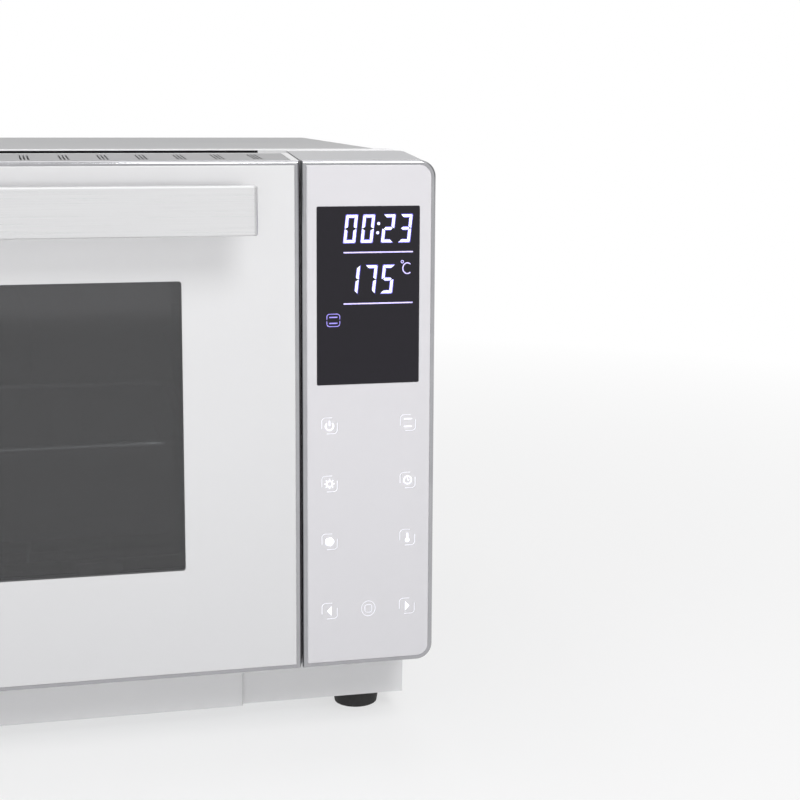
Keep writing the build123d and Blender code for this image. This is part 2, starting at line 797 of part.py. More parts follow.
with BuildPart() as control_glass:
    extrude(panel_inner, amount=glass_thick)
    chamfer(control_glass.faces().sort_by(Axis.Y)[0].edges(), 0.4)
save(control_glass, "control_glass")

# Display module, touch board and the springs behind the nine keys
display_side = 8
display_width = 50.5
display_rise = 142
display_height = 86.3
display_right = right_x - display_side
display_left = display_right - display_width
display_low = front_lift + display_rise
display_high = display_low + display_height
with BuildPart() as display_module:
    with BuildSketch(facing(board_front - board_thick)):
        area(display_left, display_right - 1, display_low, display_high, 1)
    extrude(amount=board_front - board_thick - glass_back)
save(display_module, "display_module")

with BuildPart() as touch_board:
    with BuildSketch(facing(board_front)):
        area(panel_left + 4, right_x - 4, front_lift + 6, door_top - 6, 2)
    extrude(amount=board_thick)
save(touch_board, "touch_board")

key_pitch = 19.5
key_right = right_x - 13.4
key_middle = key_right - key_pitch
key_left = key_middle - key_pitch
key_rows = (122, 93, 64, 28.7)
with BuildPart() as touch_springs:
    with BuildSketch(facing(board_front - board_thick)):
        for row in key_rows:
            with Locations((key_left, front_lift + row), (key_right, front_lift + row)):
                Circle(3.5)
                Circle(2.3, mode=Mode.SUBTRACT)
        with Locations((key_middle, front_lift + key_rows[-1])):
            Circle(3.5)
            Circle(2.3, mode=Mode.SUBTRACT)
    extrude(amount=board_front - board_thick - glass_back)
save(touch_springs, "touch_springs")

# Door frame: sides, bottom and back of the door, with the window's opening and the hinge arms' slots
arm_places = (("left", left_x + hinge_side), ("right", door_right - hinge_side))
post_places = (("left", tray_left + post_inset), ("right", tray_right - post_inset))
handle_high = door_top - handle_drop
handle_low = handle_high - handle_height
handle_middle = (handle_low + handle_high) / 2
inner_glass_lap = 8
inner_glass_thick = 3
with BuildPart() as door_frame:
    frame_mouth = front_outline(glass_back, left_x, door_right, front_lift, door_top, front_corner, 0)
    frame_rear = front_outline(door_back, left_x, door_right, front_lift, crown_at(door_back), front_corner, 0)
    loft(sections=(frame_mouth, frame_rear))
    with BuildSketch(facing(door_back - frame_wall)):
        area(left_x + frame_wall, door_right - frame_wall, front_lift + frame_wall, door_top - frame_wall, 4)
    extrude(amount=door_thick, mode=Mode.SUBTRACT)
    with BuildSketch(Plane.XY.offset(door_top - 8)):
        area(left_x + rail_end, door_right - rail_end, glass_back, door_back - frame_wall)
    extrude(amount=20, mode=Mode.SUBTRACT)
    with BuildSketch(facing(door_back + 1)):
        area(window_left - 2, window_right + 2, window_low - 2, window_high + 2, 4)
    extrude(amount=frame_wall + 2, mode=Mode.SUBTRACT)
    for side, x in arm_places:
        with BuildSketch(Plane.XY.offset(front_lift - 1)):
            area(x - slot_gap, x + arm_thick + slot_gap, glass_back, door_back + 1)
        extrude(amount=frame_wall + 2, mode=Mode.SUBTRACT)
        with BuildSketch(facing(door_back + 1)):
            area(x - slot_gap, x + arm_thick + slot_gap, front_lift - 1, pivot_z + 7)
        extrude(amount=frame_wall + 2, mode=Mode.SUBTRACT)
save(door_frame, "door_frame")

# Vent rail: a folded strip that closes the top of the door, with groups of three slits
rail_gap = 0.3
rail_wall = 1.2
rail_lip = 7
slit_pitch = 17.9
slit_count = 22
slit_step = 1.7
rail_left = left_x + rail_end + rail_gap
rail_right = door_right - rail_end - rail_gap
rail_front = glass_back + 0.1
rail_back = door_back - frame_wall - rail_gap
with BuildPart() as vent_rail:
    with BuildSketch(sideways(rail_left)):
        with BuildLine():
            Polyline(
                (rail_front, crown_at(rail_front)), (rail_back, crown_at(rail_back)),
                (rail_back, crown_at(rail_back) - rail_lip), (rail_back - rail_wall, crown_at(rail_back) - rail_lip),
                (rail_back - rail_wall, crown_at(rail_back) - rail_wall),
                (rail_front + rail_wall, crown_at(rail_front) - rail_wall),
                (rail_front + rail_wall, crown_at(rail_front) - rail_lip),
                (rail_front, crown_at(rail_front) - rail_lip), close=True,
            )
        make_face()
    extrude(amount=rail_right - rail_left)
    with BuildSketch(Plane.XY.offset(door_top - rail_wall - 1)):
        with Locations((door_middle, (rail_front + rail_back) / 2)):
            with GridLocations(slit_pitch, 1, slit_count, 1):
                with Locations((-slit_step, 0), (0, 0), (slit_step, 0)):
                    Rectangle(0.9, 22, rotation=4)
    extrude(amount=8, mode=Mode.SUBTRACT)
save(vent_rail, "vent_rail")

# Outer glass of the door with its metal rim
screw_radius = 2
door_outer = front_outline(glass_back, left_x, door_right, front_lift, door_top, front_corner, 0)
door_inner = front_outline(
    glass_back, left_x + rim_width, door_right - rim_width,
    front_lift + rim_width, door_top - rim_width, front_corner - rim_width, 0,
)
with BuildPart() as door_rim:
    extrude(door_outer, amount=glass_back - rim_front)
    fillet(door_rim.faces().sort_by(Axis.Y)[0].edges(), rim_width * 0.6)
    extrude(door_inner, amount=glass_thick, mode=Mode.SUBTRACT)
save(door_rim, "door_rim")

with BuildPart() as door_glass:
    extrude(door_inner, amount=glass_thick)
    chamfer(door_glass.faces().sort_by(Axis.Y)[0].edges(), 0.4)
    with BuildSketch(facing(glass_back + 1)):
        for side, x in post_places:
            with Locations((x, handle_middle)):
                Circle(screw_radius + 0.5)
    extrude(amount=glass_thick + 2, mode=Mode.SUBTRACT)
save(door_glass, "door_glass")

# Inner glass against the frame's back, held by clips
with BuildPart() as inner_glass:
    with BuildSketch(facing(door_back - frame_wall)):
        area(
            window_left - inner_glass_lap, window_right + inner_glass_lap,
            window_low - inner_glass_lap, window_high + inner_glass_lap, 2,
        )
    extrude(amount=inner_glass_thick)
save(inner_glass, "inner_glass")

clip_width = 22
with BuildPart() as inner_glass_clips:
    for z, turn in ((window_low - inner_glass_lap, -1), (window_high + inner_glass_lap, 1)):
        for x in (window_left + 40, door_middle, window_right - 40):
            with BuildSketch(sideways(x - clip_width / 2)):
                with BuildLine():
                    Polyline(
                        (door_back - frame_wall, z + 10 * turn), (door_back - frame_wall, z + 0.2 * turn),
                        (door_back - frame_wall - inner_glass_thick, z + 0.2 * turn),
                        (door_back - frame_wall - inner_glass_thick, z - 5 * turn),
                        (door_back - frame_wall - inner_glass_thick - 1, z - 5 * turn),
                        (door_back - frame_wall - inner_glass_thick - 1, z + 1.4 * turn),
                        (door_back - frame_wall - 1, z + 1.4 * turn), (door_back - frame_wall - 1, z + 10 * turn),
                        close=True,
                    )
                make_face()
            extrude(amount=clip_width)
save(inner_glass_clips, "inner_glass_clips")

# Handle: a flat bar with rounded ends on two round posts
with BuildPart() as handle_bar:
    with BuildSketch(Plane.XY.offset(handle_low)):
        area(tray_left, tray_right, front_y - handle_reach, front_y - handle_reach + handle_thick, 2.4)
    extrude(amount=handle_height)
    chamfer(handle_bar.faces().sort_by(Axis.Z)[-1].edges(), 0.6)
    chamfer(handle_bar.faces().sort_by(Axis.Z)[0].edges(), 0.6)
save(handle_bar, "handle_bar")

thread_depth = 14
with BuildPart() as handle_posts:
    with BuildSketch(facing(front_y)):
        for side, x in post_places:
            with Locations((x, handle_middle)):
                Circle(post_radius)
    extrude(amount=handle_reach - handle_thick)
    fillet(handle_posts.edges().group_by(Axis.Y)[-1], 0.8)
    with BuildSketch(facing(front_y)):
        for side, x in post_places:
            with Locations((x, handle_middle)):
                Circle(screw_radius + running)
    extrude(amount=thread_depth, mode=Mode.SUBTRACT)
save(handle_posts, "handle_posts")

with BuildPart() as handle_screws:
    with BuildSketch(facing(glass_back + 3)):
        for side, x in post_places:
            with Locations((x, handle_middle)):
                Circle(4.5)
    extrude(amount=3)
    with BuildSketch(facing(glass_back)):
        for side, x in post_places:
            with Locations((x, handle_middle)):
                Circle(screw_radius)
    extrude(amount=glass_thick + thread_depth - 1)
save(handle_screws, "handle_screws")

# Hinges: a fixed arm on the front frame reaches into the door, where a pin through a clevis carries the door
eye_radius = 4.5
arm_low = front_lift - 1.8
arm_straight = 11
arm_slope = 6
arm_high = pivot_z + eye_radius
flange_high = pivot_z + 36
flange_reach = 10
cheek = 2
cheek_gap = 0.6
clevis_low = front_lift + frame_wall
clevis_high = pivot_z + 8
for side, x in arm_places:
    inward = 1 if side == "left" else -1
    with BuildPart() as hinge_arm:
        with BuildSketch(sideways(x)):
            with BuildLine():
                Polyline(
                    (pivot_y, pivot_z - eye_radius), (pivot_y + arm_straight, pivot_z - eye_radius),
                    (pivot_y + arm_straight + arm_slope, arm_low), (cabinet_y, arm_low),
                    (cabinet_y, flange_high), (cabinet_y - 2, flange_high), (cabinet_y - 2, arm_high),
                    (pivot_y, arm_high), close=True,
                )
            make_face()
            with Locations((pivot_y, pivot_z)):
                Circle(eye_radius)
                Circle(pin_radius + running, mode=Mode.SUBTRACT)
        extrude(amount=arm_thick)
        with BuildSketch(facing(cabinet_y)):
            flange_edge = x + arm_thick / 2 + inward * flange_reach
            area(min(x, flange_edge), max(x + arm_thick, flange_edge), arm_high + 6, flange_high)
        extrude(amount=2)
    save(hinge_arm, f"hinge_arm_{side}")

# Clevises on the door's bottom wall, one round each arm
with BuildPart() as hinge_clevises:
    for side, x in arm_places:
        with BuildSketch(facing(pivot_y + 6)):
            area(x - cheek_gap - cheek, x + arm_thick + cheek_gap + cheek, clevis_low, clevis_high)
            with BuildSketch(facing(pivot_y + 6), mode=Mode.SUBTRACT):
                area(x - cheek_gap, x + arm_thick + cheek_gap, clevis_low, clevis_high - cheek)
        extrude(amount=6 + eye_radius)
        with BuildSketch(sideways(x - 10)):
            with Locations((pivot_y, pivot_z)):
                Circle(pin_radius)
        extrude(amount=20 + arm_thick, mode=Mode.SUBTRACT)
save(hinge_clevises, "hinge_clevises")

# Pins through the clevises and the arms' eyes
pin_stand = 1
with BuildPart() as hinge_pins:
    for side, x in arm_places:
        with BuildSketch(sideways(x - cheek_gap - cheek - pin_stand)):
            with Locations((pivot_y, pivot_z)):
                Circle(pin_radius)
        extrude(amount=arm_thick + 2 * (cheek_gap + cheek + pin_stand))
save(hinge_pins, "hinge_pins")
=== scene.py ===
import bpy
import bmesh
import math
import numpy as np
from mathutils import Matrix, Vector


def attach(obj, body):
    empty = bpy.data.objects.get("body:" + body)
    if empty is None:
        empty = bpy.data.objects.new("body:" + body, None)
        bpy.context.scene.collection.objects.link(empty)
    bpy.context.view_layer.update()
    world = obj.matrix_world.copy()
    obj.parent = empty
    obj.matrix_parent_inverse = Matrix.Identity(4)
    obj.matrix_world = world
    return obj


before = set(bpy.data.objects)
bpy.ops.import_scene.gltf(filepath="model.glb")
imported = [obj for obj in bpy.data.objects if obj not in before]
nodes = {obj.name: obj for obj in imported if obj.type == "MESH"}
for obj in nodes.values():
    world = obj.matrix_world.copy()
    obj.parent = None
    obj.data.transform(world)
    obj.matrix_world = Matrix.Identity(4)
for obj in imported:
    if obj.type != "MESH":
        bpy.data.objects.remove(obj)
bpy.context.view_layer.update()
print("frame loaded,", len(nodes), "nodes")


# Small helpers for node trees: every finish below is put together from these

def startFinish(name):
    # a new material with one shader joined to its output
    material = bpy.data.materials.new(name)
    material.use_nodes = True
    tree = material.node_tree
    tree.nodes.clear()
    shader = tree.nodes.new("ShaderNodeBsdfPrincipled")
    output = tree.nodes.new("ShaderNodeOutputMaterial")
    tree.links.new(shader.outputs["BSDF"], output.inputs["Surface"])
    return material, tree, shader


def placeSource(tree, stretch=(1.0, 1.0, 1.0)):
    # the point on the piece, with each axis multiplied by its stretch
    source = tree.nodes.new("ShaderNodeTexCoord")
    mapping = tree.nodes.new("ShaderNodeMapping")
    mapping.inputs["Scale"].default_value = stretch
    tree.links.new(source.outputs["Object"], mapping.inputs["Vector"])
    return mapping.outputs["Vector"]


def noiseFrom(tree, place, size, detail=3.0, rough=0.5):
    # fractal noise at the place, mostly between 0.3 and 0.7; size is how many lumps go in a metre
    noise = tree.nodes.new("ShaderNodeTexNoise")
    noise.inputs["Scale"].default_value = size
    noise.inputs["Detail"].default_value = detail
    noise.inputs["Roughness"].default_value = rough
    tree.links.new(place, noise.inputs["Vector"])
    return noise.outputs["Fac"]


def spread(tree, value, low, high, fromLow=0.3, fromHigh=0.7):
    # low where the value is at fromLow or less, high at fromHigh or more, in a straight line between
    ranger = tree.nodes.new("ShaderNodeMapRange")
    ranger.inputs["From Min"].default_value = fromLow
    ranger.inputs["From Max"].default_value = fromHigh
    ranger.inputs["To Min"].default_value = low
    ranger.inputs["To Max"].default_value = high
    tree.links.new(value, ranger.inputs["Value"])
    return ranger.outputs["Result"]


def mathStep(tree, kind, first, second=None):
    # one step of arithmetic on plain numbers or on other nodes' values
    node = tree.nodes.new("ShaderNodeMath")
    node.operation = kind
    for index, value in enumerate((first, second)):
        if value is None:
            continue
        if isinstance(value, (int, float)):
            node.inputs[index].default_value = value
        else:
            tree.links.new(value, node.inputs[index])
    return node.outputs["Value"]


def blendColors(tree, factor, first, second):
    # first colour where the factor is 0, second where it is 1
    mixer = tree.nodes.new("ShaderNodeMix")
    mixer.data_type = "RGBA"
    tree.links.new(factor, mixer.inputs["Factor"])
    for socket, value in ((mixer.inputs[6], first), (mixer.inputs[7], second)):
        if isinstance(value, tuple):
            socket.default_value = (*value, 1.0)
        else:
            tree.links.new(value, socket)
    return mixer.outputs[2]


def liftSurface(tree, shader, height, strength, distance):
    # bump: the surface seems raised where the height is greater, by up to the distance in metres
    bump = tree.nodes.new("ShaderNodeBump")
    bump.inputs["Strength"].default_value = strength
    bump.inputs["Distance"].default_value = distance
    tree.links.new(height, bump.inputs["Height"])
    tree.links.new(bump.outputs["Normal"], shader.inputs["Normal"])


def roundedArea(tree, left, right, low, high, corner, soft):
    # 1 inside a rounded rectangle across the front, 0 outside: the distance to its edge is the length of
    # (|x - middle| - half + corner, |z - middle| - half + corner), each part no less than 0, less the corner
    place = tree.nodes.new("ShaderNodeTexCoord")
    parts = tree.nodes.new("ShaderNodeSeparateXYZ")
    tree.links.new(place.outputs["Object"], parts.inputs["Vector"])
    past = []
    for axis, start, end in (("X", left, right), ("Z", low, high)):
        fromMiddle = mathStep(tree, "ABSOLUTE", mathStep(tree, "SUBTRACT", parts.outputs[axis], (start + end) / 2))
        past.append(mathStep(tree, "SUBTRACT", fromMiddle, (end - start) / 2 - corner))
    squares = [mathStep(tree, "POWER", mathStep(tree, "MAXIMUM", part, 0.0), 2.0) for part in past]
    outside = mathStep(tree, "SQRT", mathStep(tree, "ADD", squares[0], squares[1]))
    return spread(tree, outside, 1.0, 0.0, corner - soft, corner + soft)


# Sheet and cast metal

def makeMetal(name, look):
    # brushed metal: noise drawn out along the brushing changes colour and roughness and lifts fine grooves
    material, tree, shader = startFinish(name)
    grain = noiseFrom(tree, placeSource(tree, look["grain"]), 1.0, 4.0, 0.6)
    cloud = noiseFrom(tree, placeSource(tree), look["cloud"], 2.0)
    tone = blendColors(tree, spread(tree, grain, 0.0, 1.0), look["dark"], look["color"])
    tone = blendColors(tree, spread(tree, cloud, 0.0, look["stain"]), tone, look["dark"])
    tree.links.new(tone, shader.inputs["Base Color"])
    tree.links.new(spread(tree, grain, look["rough"], look["rough"] + look["roughMore"]), shader.inputs["Roughness"])
    shader.inputs["Metallic"].default_value = look["metallic"]
    if look["groove"] > 0:
        liftSurface(tree, shader, grain, 0.5, look["groove"])
    return material


metalLooks = {
    "handleSteel": dict(color=(0.74, 0.74, 0.745), dark=(0.67, 0.67, 0.68), grain=(10, 3200, 3200), cloud=7, stain=0.45,
                        rough=0.26, roughMore=0.08, metallic=0.9, groove=0.00001),
    "postSteel": dict(color=(0.74, 0.74, 0.75), dark=(0.60, 0.60, 0.61), grain=(300, 20, 300), cloud=30, stain=0.3,
                      rough=0.18, roughMore=0.10, metallic=1.0, groove=0.00002),
    "rimSteel": dict(color=(0.46, 0.46, 0.475), dark=(0.38, 0.38, 0.395), grain=(40, 900, 40), cloud=25, stain=0.3,
                     rough=0.10, roughMore=0.08, metallic=1.0, groove=0.00001),
    "springSteel": dict(color=(0.66, 0.66, 0.67), dark=(0.50, 0.50, 0.51), grain=(200, 200, 200), cloud=60, stain=0.4,
                        rough=0.22, roughMore=0.18, metallic=1.0, groove=0.00001),
    "pressedSteel": dict(color=(0.60, 0.61, 0.62), dark=(0.47, 0.48, 0.49), grain=(500, 12, 500), cloud=12, stain=0.4,
                         rough=0.30, roughMore=0.20, metallic=1.0, groove=0.00002),
    "chromedWire": dict(color=(0.76, 0.76, 0.77), dark=(0.62, 0.62, 0.62), grain=(80, 80, 80), cloud=40, stain=0.3,
                        rough=0.08, roughMore=0.10, metallic=1.0, groove=0.0),
    "castAluminium": dict(color=(0.68, 0.69, 0.70), dark=(0.52, 0.53, 0.54), grain=(700, 700, 700), cloud=50, stain=0.5,
                          rough=0.34, roughMore=0.20, metallic=1.0, groove=0.00005),
    "heaterSheath": dict(color=(0.20, 0.19, 0.18), dark=(0.10, 0.095, 0.09), grain=(60, 400, 400), cloud=35, stain=0.7,
                         rough=0.42, roughMore=0.22, metallic=0.7, groove=0.00003),
    "motorIron": dict(color=(0.15, 0.15, 0.16), dark=(0.08, 0.08, 0.085), grain=(30, 1200, 30), cloud=45, stain=0.6,
                      rough=0.38, roughMore=0.20, metallic=0.8, groove=0.00008),
}


def makeZinc(name, look):
    # zinc coat: cells of crystal from a Voronoi pattern, each with its own grey, in a fine noise of roughness
    material, tree, shader = startFinish(name)
    place = placeSource(tree)
    cells = tree.nodes.new("ShaderNodeTexVoronoi")
    cells.inputs["Scale"].default_value = look["cells"]
    tree.links.new(place, cells.inputs["Vector"])
    parts = tree.nodes.new("ShaderNodeSeparateColor")
    tree.links.new(cells.outputs["Color"], parts.inputs["Color"])
    tree.links.new(blendColors(tree, parts.outputs["Red"], look["dark"], look["color"]), shader.inputs["Base Color"])
    fine = noiseFrom(tree, place, look["fine"], 4.0)
    tree.links.new(spread(tree, fine, look["rough"], look["rough"] + look["roughMore"]), shader.inputs["Roughness"])
    shader.inputs["Metallic"].default_value = 1.0
    liftSurface(tree, shader, fine, look["skin"], look["skinDepth"])
    return material


zincLook = dict(cells=220, fine=700, color=(0.62, 0.64, 0.66), dark=(0.48, 0.50, 0.52), rough=0.34, roughMore=0.18,
                skin=0.3, skinDepth=0.00003)


# Paint, enamel and mouldings

def makeCoat(name, look):
    # coat over sheet or moulding: two noises, a broad one for the colour and a fine one for the skin of the surface
    material, tree, shader = startFinish(name)
    place = placeSource(tree)
    broad = noiseFrom(tree, place, look["broad"], 2.0)
    fine = noiseFrom(tree, place, look["fine"], 4.0, 0.6)
    base = blendColors(tree, spread(tree, broad, 0.0, 1.0), look["color"], look["other"])
    if look.get("speck"):
        specks = spread(tree, fine, 0.0, 1.0, 0.66, 0.72)  # only the peaks of the fine noise
        base = blendColors(tree, specks, base, look["speck"])
    tree.links.new(base, shader.inputs["Base Color"])
    tree.links.new(spread(tree, fine, look["rough"], look["rough"] + look["roughMore"]), shader.inputs["Roughness"])
    shader.inputs["Metallic"].default_value = look.get("metallic", 0.0)
    shader.inputs["Specular IOR Level"].default_value = look.get("shine", 0.5)
    shader.inputs["Coat Weight"].default_value = look.get("coat", 0.0)
    shader.inputs["Coat Roughness"].default_value = 0.08
    liftSurface(tree, shader, fine, look["skin"], look["skinDepth"])
    return material


coatLooks = {
    "pearlPaint": dict(color=(0.74, 0.74, 0.745), other=(0.70, 0.70, 0.71),
                       broad=6, fine=1400, rough=0.36, roughMore=0.10, metallic=0.10, coat=0.2, shine=0.4, skin=0.25,
                       skinDepth=0.00003),
    # painted shade: the shell's paint is the pearl grey made darker, as its top faces look in less light than the front
    "shellPaintShaded": dict(color=(0.52, 0.52, 0.525), other=(0.49, 0.49, 0.50),
                       broad=6, fine=1400, rough=0.62, roughMore=0.12, shine=0.08, skin=0.3, skinDepth=0.00003),
    # painted shade: the vent rail's paint is the pearl grey made darker, as a top face in less light
    "railPaintShaded": dict(color=(0.46, 0.46, 0.465), other=(0.42, 0.42, 0.43),
                      broad=14, fine=1300, rough=0.62, roughMore=0.12, shine=0.06, skin=0.3, skinDepth=0.00003),
    # painted shade: the control housing's top and side are the pearl grey made darker than the front
    "pearlPlasticShaded": dict(color=(0.56, 0.56, 0.57), other=(0.52, 0.52, 0.535),
                         broad=9, fine=900, rough=0.60, roughMore=0.14, shine=0.08, skin=0.35, skinDepth=0.00004),
    "greyEnamel": dict(color=(0.20, 0.20, 0.205), other=(0.16, 0.16, 0.165), speck=(0.30, 0.31, 0.32),
                       broad=12, fine=1600, rough=0.24, roughMore=0.18, coat=0.3, skin=0.25, skinDepth=0.00005),
    "blackEnamel": dict(color=(0.020, 0.020, 0.022), other=(0.014, 0.014, 0.016), speck=(0.05, 0.05, 0.055),
                        broad=10, fine=1500, rough=0.18, roughMore=0.16, coat=0.7, skin=0.25, skinDepth=0.00004),
    "footRubber": dict(color=(0.018, 0.018, 0.018), other=(0.028, 0.027, 0.027),
                       broad=60, fine=2200, rough=0.62, roughMore=0.20, skin=0.6, skinDepth=0.00010),
    "sealRubber": dict(color=(0.030, 0.030, 0.032), other=(0.050, 0.048, 0.046),
                       broad=90, fine=2600, rough=0.58, roughMore=0.22, skin=0.8, skinDepth=0.00014),
    "blackPlastic": dict(color=(0.022, 0.022, 0.024), other=(0.030, 0.030, 0.032),
                         broad=40, fine=1800, rough=0.42, roughMore=0.16, skin=0.5, skinDepth=0.00008),
    "relayPlastic": dict(color=(0.028, 0.040, 0.075), other=(0.022, 0.032, 0.060),
                         broad=40, fine=1500, rough=0.34, roughMore=0.16, skin=0.4, skinDepth=0.00005),
    "displayPlastic": dict(color=(0.012, 0.012, 0.014), other=(0.018, 0.018, 0.020),
                           broad=30, fine=1200, rough=0.16, roughMore=0.08, coat=0.8, skin=0.2, skinDepth=0.00002),
    "ceramic": dict(color=(0.78, 0.76, 0.71), other=(0.70, 0.68, 0.63),
                    broad=50, fine=1300, rough=0.38, roughMore=0.20, coat=0.3, skin=0.4, skinDepth=0.00006),
}


# the strip of painted shadow in the gap above the door: its left, right, low and high edge and its corner radius, in
# metres
trimShadowLook = dict(strip=(-0.2335, 0.1600, 0.0500, 0.30025, 0.0004), edge=0.0001, dark=(0.010, 0.010, 0.011),
                shine=0.45, stripShine=0.02)


def makeTrimWithShadow(name, look, paint):
    # the paint, turned to a dark matt one in the strip of the trim that faces the door's back: a painted shadow for the
    # gap between the door and the trim
    material, tree, shader = startFinish(name)
    place = placeSource(tree)
    broad = noiseFrom(tree, place, paint["broad"], 2.0)
    fine = noiseFrom(tree, place, paint["fine"], 4.0, 0.6)
    base = blendColors(tree, spread(tree, broad, 0.0, 1.0), paint["color"], paint["other"])
    # painted shadow: inside this strip the paint goes dark and matt, standing in for the shade in the gap
    strip = roundedArea(tree, *look["strip"], look["edge"])
    tree.links.new(blendColors(tree, strip, base, look["dark"]), shader.inputs["Base Color"])
    tree.links.new(spread(tree, fine, paint["rough"], paint["rough"] + paint["roughMore"]), shader.inputs["Roughness"])
    shine = spread(tree, strip, look["shine"], look["stripShine"], 0.0, 1.0)
    tree.links.new(shine, shader.inputs["Specular IOR Level"])
    liftSurface(tree, shader, fine, paint["skin"], paint["skinDepth"])
    return material


def makeBoard(name, look):
    # circuit board: a brick pattern of lighter copper runs under a green mask, with fine noise in its gloss
    material, tree, shader = startFinish(name)
    place = placeSource(tree)
    bricks = tree.nodes.new("ShaderNodeTexBrick")
    bricks.inputs["Scale"].default_value = look["runs"]
    bricks.inputs["Mortar Size"].default_value = look["line"]
    bricks.inputs["Color1"].default_value = (*look["color"], 1.0)
    bricks.inputs["Color2"].default_value = (*look["other"], 1.0)
    bricks.inputs["Mortar"].default_value = (*look["copper"], 1.0)
    tree.links.new(place, bricks.inputs["Vector"])
    tree.links.new(bricks.outputs["Color"], shader.inputs["Base Color"])
    fine = noiseFrom(tree, place, look["fine"], 3.0)
    tree.links.new(spread(tree, fine, look["rough"], look["rough"] + look["roughMore"]), shader.inputs["Roughness"])
    liftSurface(tree, shader, bricks.outputs["Fac"], look["skin"], look["skinDepth"])
    return material


boardLook = dict(color=(0.010, 0.085, 0.035), other=(0.008, 0.070, 0.030), copper=(0.030, 0.16, 0.06), runs=60,
                 line=0.05, fine=900, rough=0.28, roughMore=0.18, skin=0.4, skinDepth=0.00004)


# Front glass: a pearl coat behind the glass, with the window or the display left clear in it

glassIor = 1.5

# area: the left, right, low and high edge and the corner radius of the clear part, in metres
doorGlassLook = dict(area=(-0.1840, 0.1175, 0.1010, 0.2410, 0.0015), tint=(0.27, 0.27, 0.28), clearness=0.92,
                     pearl=(0.700, 0.698, 0.708), pearlShadedLow=(0.640, 0.640, 0.652))
panelGlassLook = dict(area=(0.1815, 0.2320, 0.1890, 0.2753, 0.0008), tint=(0.0075, 0.0060, 0.0105), clearness=0.0,
                      pearl=(0.665, 0.652, 0.682), pearlShadedLow=(0.620, 0.612, 0.640))
# what both share: the heights between which the pearl fades from its painted shade at the bottom, its flakes and
# clouds, and the gloss, first of the pearl and then of the clear part
pearlLook = {
    "shadeLowZ": 0.060,
    "shadeHighZ": 0.230,
    "flake": dict(color=(0.80, 0.80, 0.82), size=2600, share=0.10),
    "cloud": dict(color=(0.58, 0.575, 0.59), size=5, share=0.12),
    "edge": 0.00012,
    "metallic": 0.40,
    "coat": 0.60,
    "coatRough": 0.03,
    "rough": (0.20, 0.05),
    "shine": (0.50, 0.30),
}


def makeFrontGlass(name, look):
    # pearl fades from its low colour at the bottom, darker as painted shade, to its high one above; inside the clear
    # area the tint shows and light passes
    material, tree, shader = startFinish(name)
    place = tree.nodes.new("ShaderNodeTexCoord")
    parts = tree.nodes.new("ShaderNodeSeparateXYZ")
    tree.links.new(place.outputs["Object"], parts.inputs["Vector"])
    # painted shade: the pearl is darker towards the bottom of the front and lighter towards the top
    rise = spread(tree, parts.outputs["Z"], 0.0, 1.0, pearlLook["shadeLowZ"], pearlLook["shadeHighZ"])
    pearl = blendColors(tree, rise, look["pearlShadedLow"], look["pearl"])
    for lump in (pearlLook["flake"], pearlLook["cloud"]):
        noise = noiseFrom(tree, placeSource(tree), lump["size"], 2.0)
        pearl = blendColors(tree, spread(tree, noise, 0.0, lump["share"]), pearl, lump["color"])
    clear = roundedArea(tree, *look["area"], pearlLook["edge"])
    tree.links.new(blendColors(tree, clear, pearl, look["tint"]), shader.inputs["Base Color"])
    coated = mathStep(tree, "SUBTRACT", 1.0, clear)
    tree.links.new(mathStep(tree, "MULTIPLY", coated, pearlLook["metallic"]), shader.inputs["Metallic"])
    tree.links.new(mathStep(tree, "MULTIPLY", coated, pearlLook["coat"]), shader.inputs["Coat Weight"])
    tree.links.new(spread(tree, clear, *pearlLook["rough"], 0.0, 1.0), shader.inputs["Roughness"])
    tree.links.new(spread(tree, clear, *pearlLook["shine"], 0.0, 1.0), shader.inputs["Specular IOR Level"])
    if look["clearness"] > 0:
        passing = mathStep(tree, "MULTIPLY", clear, look["clearness"])
        tree.links.new(passing, shader.inputs["Transmission Weight"])
    shader.inputs["Coat Roughness"].default_value = pearlLook["coatRough"]
    shader.inputs["IOR"].default_value = glassIor
    return material


def makeClearGlass(name, look):
    # clear glass: full transmission, with a faint smear of roughness from a drawn-out noise
    material, tree, shader = startFinish(name)
    smear = noiseFrom(tree, placeSource(tree, look["drawn"]), 1.0, 4.0)
    tree.links.new(spread(tree, smear, 0.0, look["smear"]), shader.inputs["Roughness"])
    tone = spread(tree, noiseFrom(tree, placeSource(tree), look["tone"], 2.0), 0.0, 1.0)
    tree.links.new(blendColors(tree, tone, look["color"], look["other"]), shader.inputs["Base Color"])
    shader.inputs["Transmission Weight"].default_value = look["clear"]
    shader.inputs["IOR"].default_value = glassIor
    return material


clearGlassLooks = {
    "innerGlass": dict(color=(0.82, 0.85, 0.84), other=(0.78, 0.81, 0.80), tone=30, drawn=(8, 8, 30), smear=0.05,
                       clear=0.95),
    "lampGlass": dict(color=(0.95, 0.93, 0.88), other=(0.90, 0.88, 0.82), tone=30, drawn=(8, 8, 30), smear=0.12,
                      clear=0.92),
}


def makeGlow(name, look):
    # lit mark: white with a trace of violet, a little uneven from a soft noise
    material, tree, shader = startFinish(name)
    cloud = noiseFrom(tree, placeSource(tree), look["cloud"], 2.0)
    color = blendColors(tree, spread(tree, cloud, 0.0, 1.0), look["color"], look["other"])
    tree.links.new(color, shader.inputs["Base Color"])
    tree.links.new(color, shader.inputs["Emission Color"])
    shader.inputs["Emission Strength"].default_value = look["strength"]
    tree.links.new(spread(tree, cloud, 0.35, 0.5), shader.inputs["Roughness"])
    return material


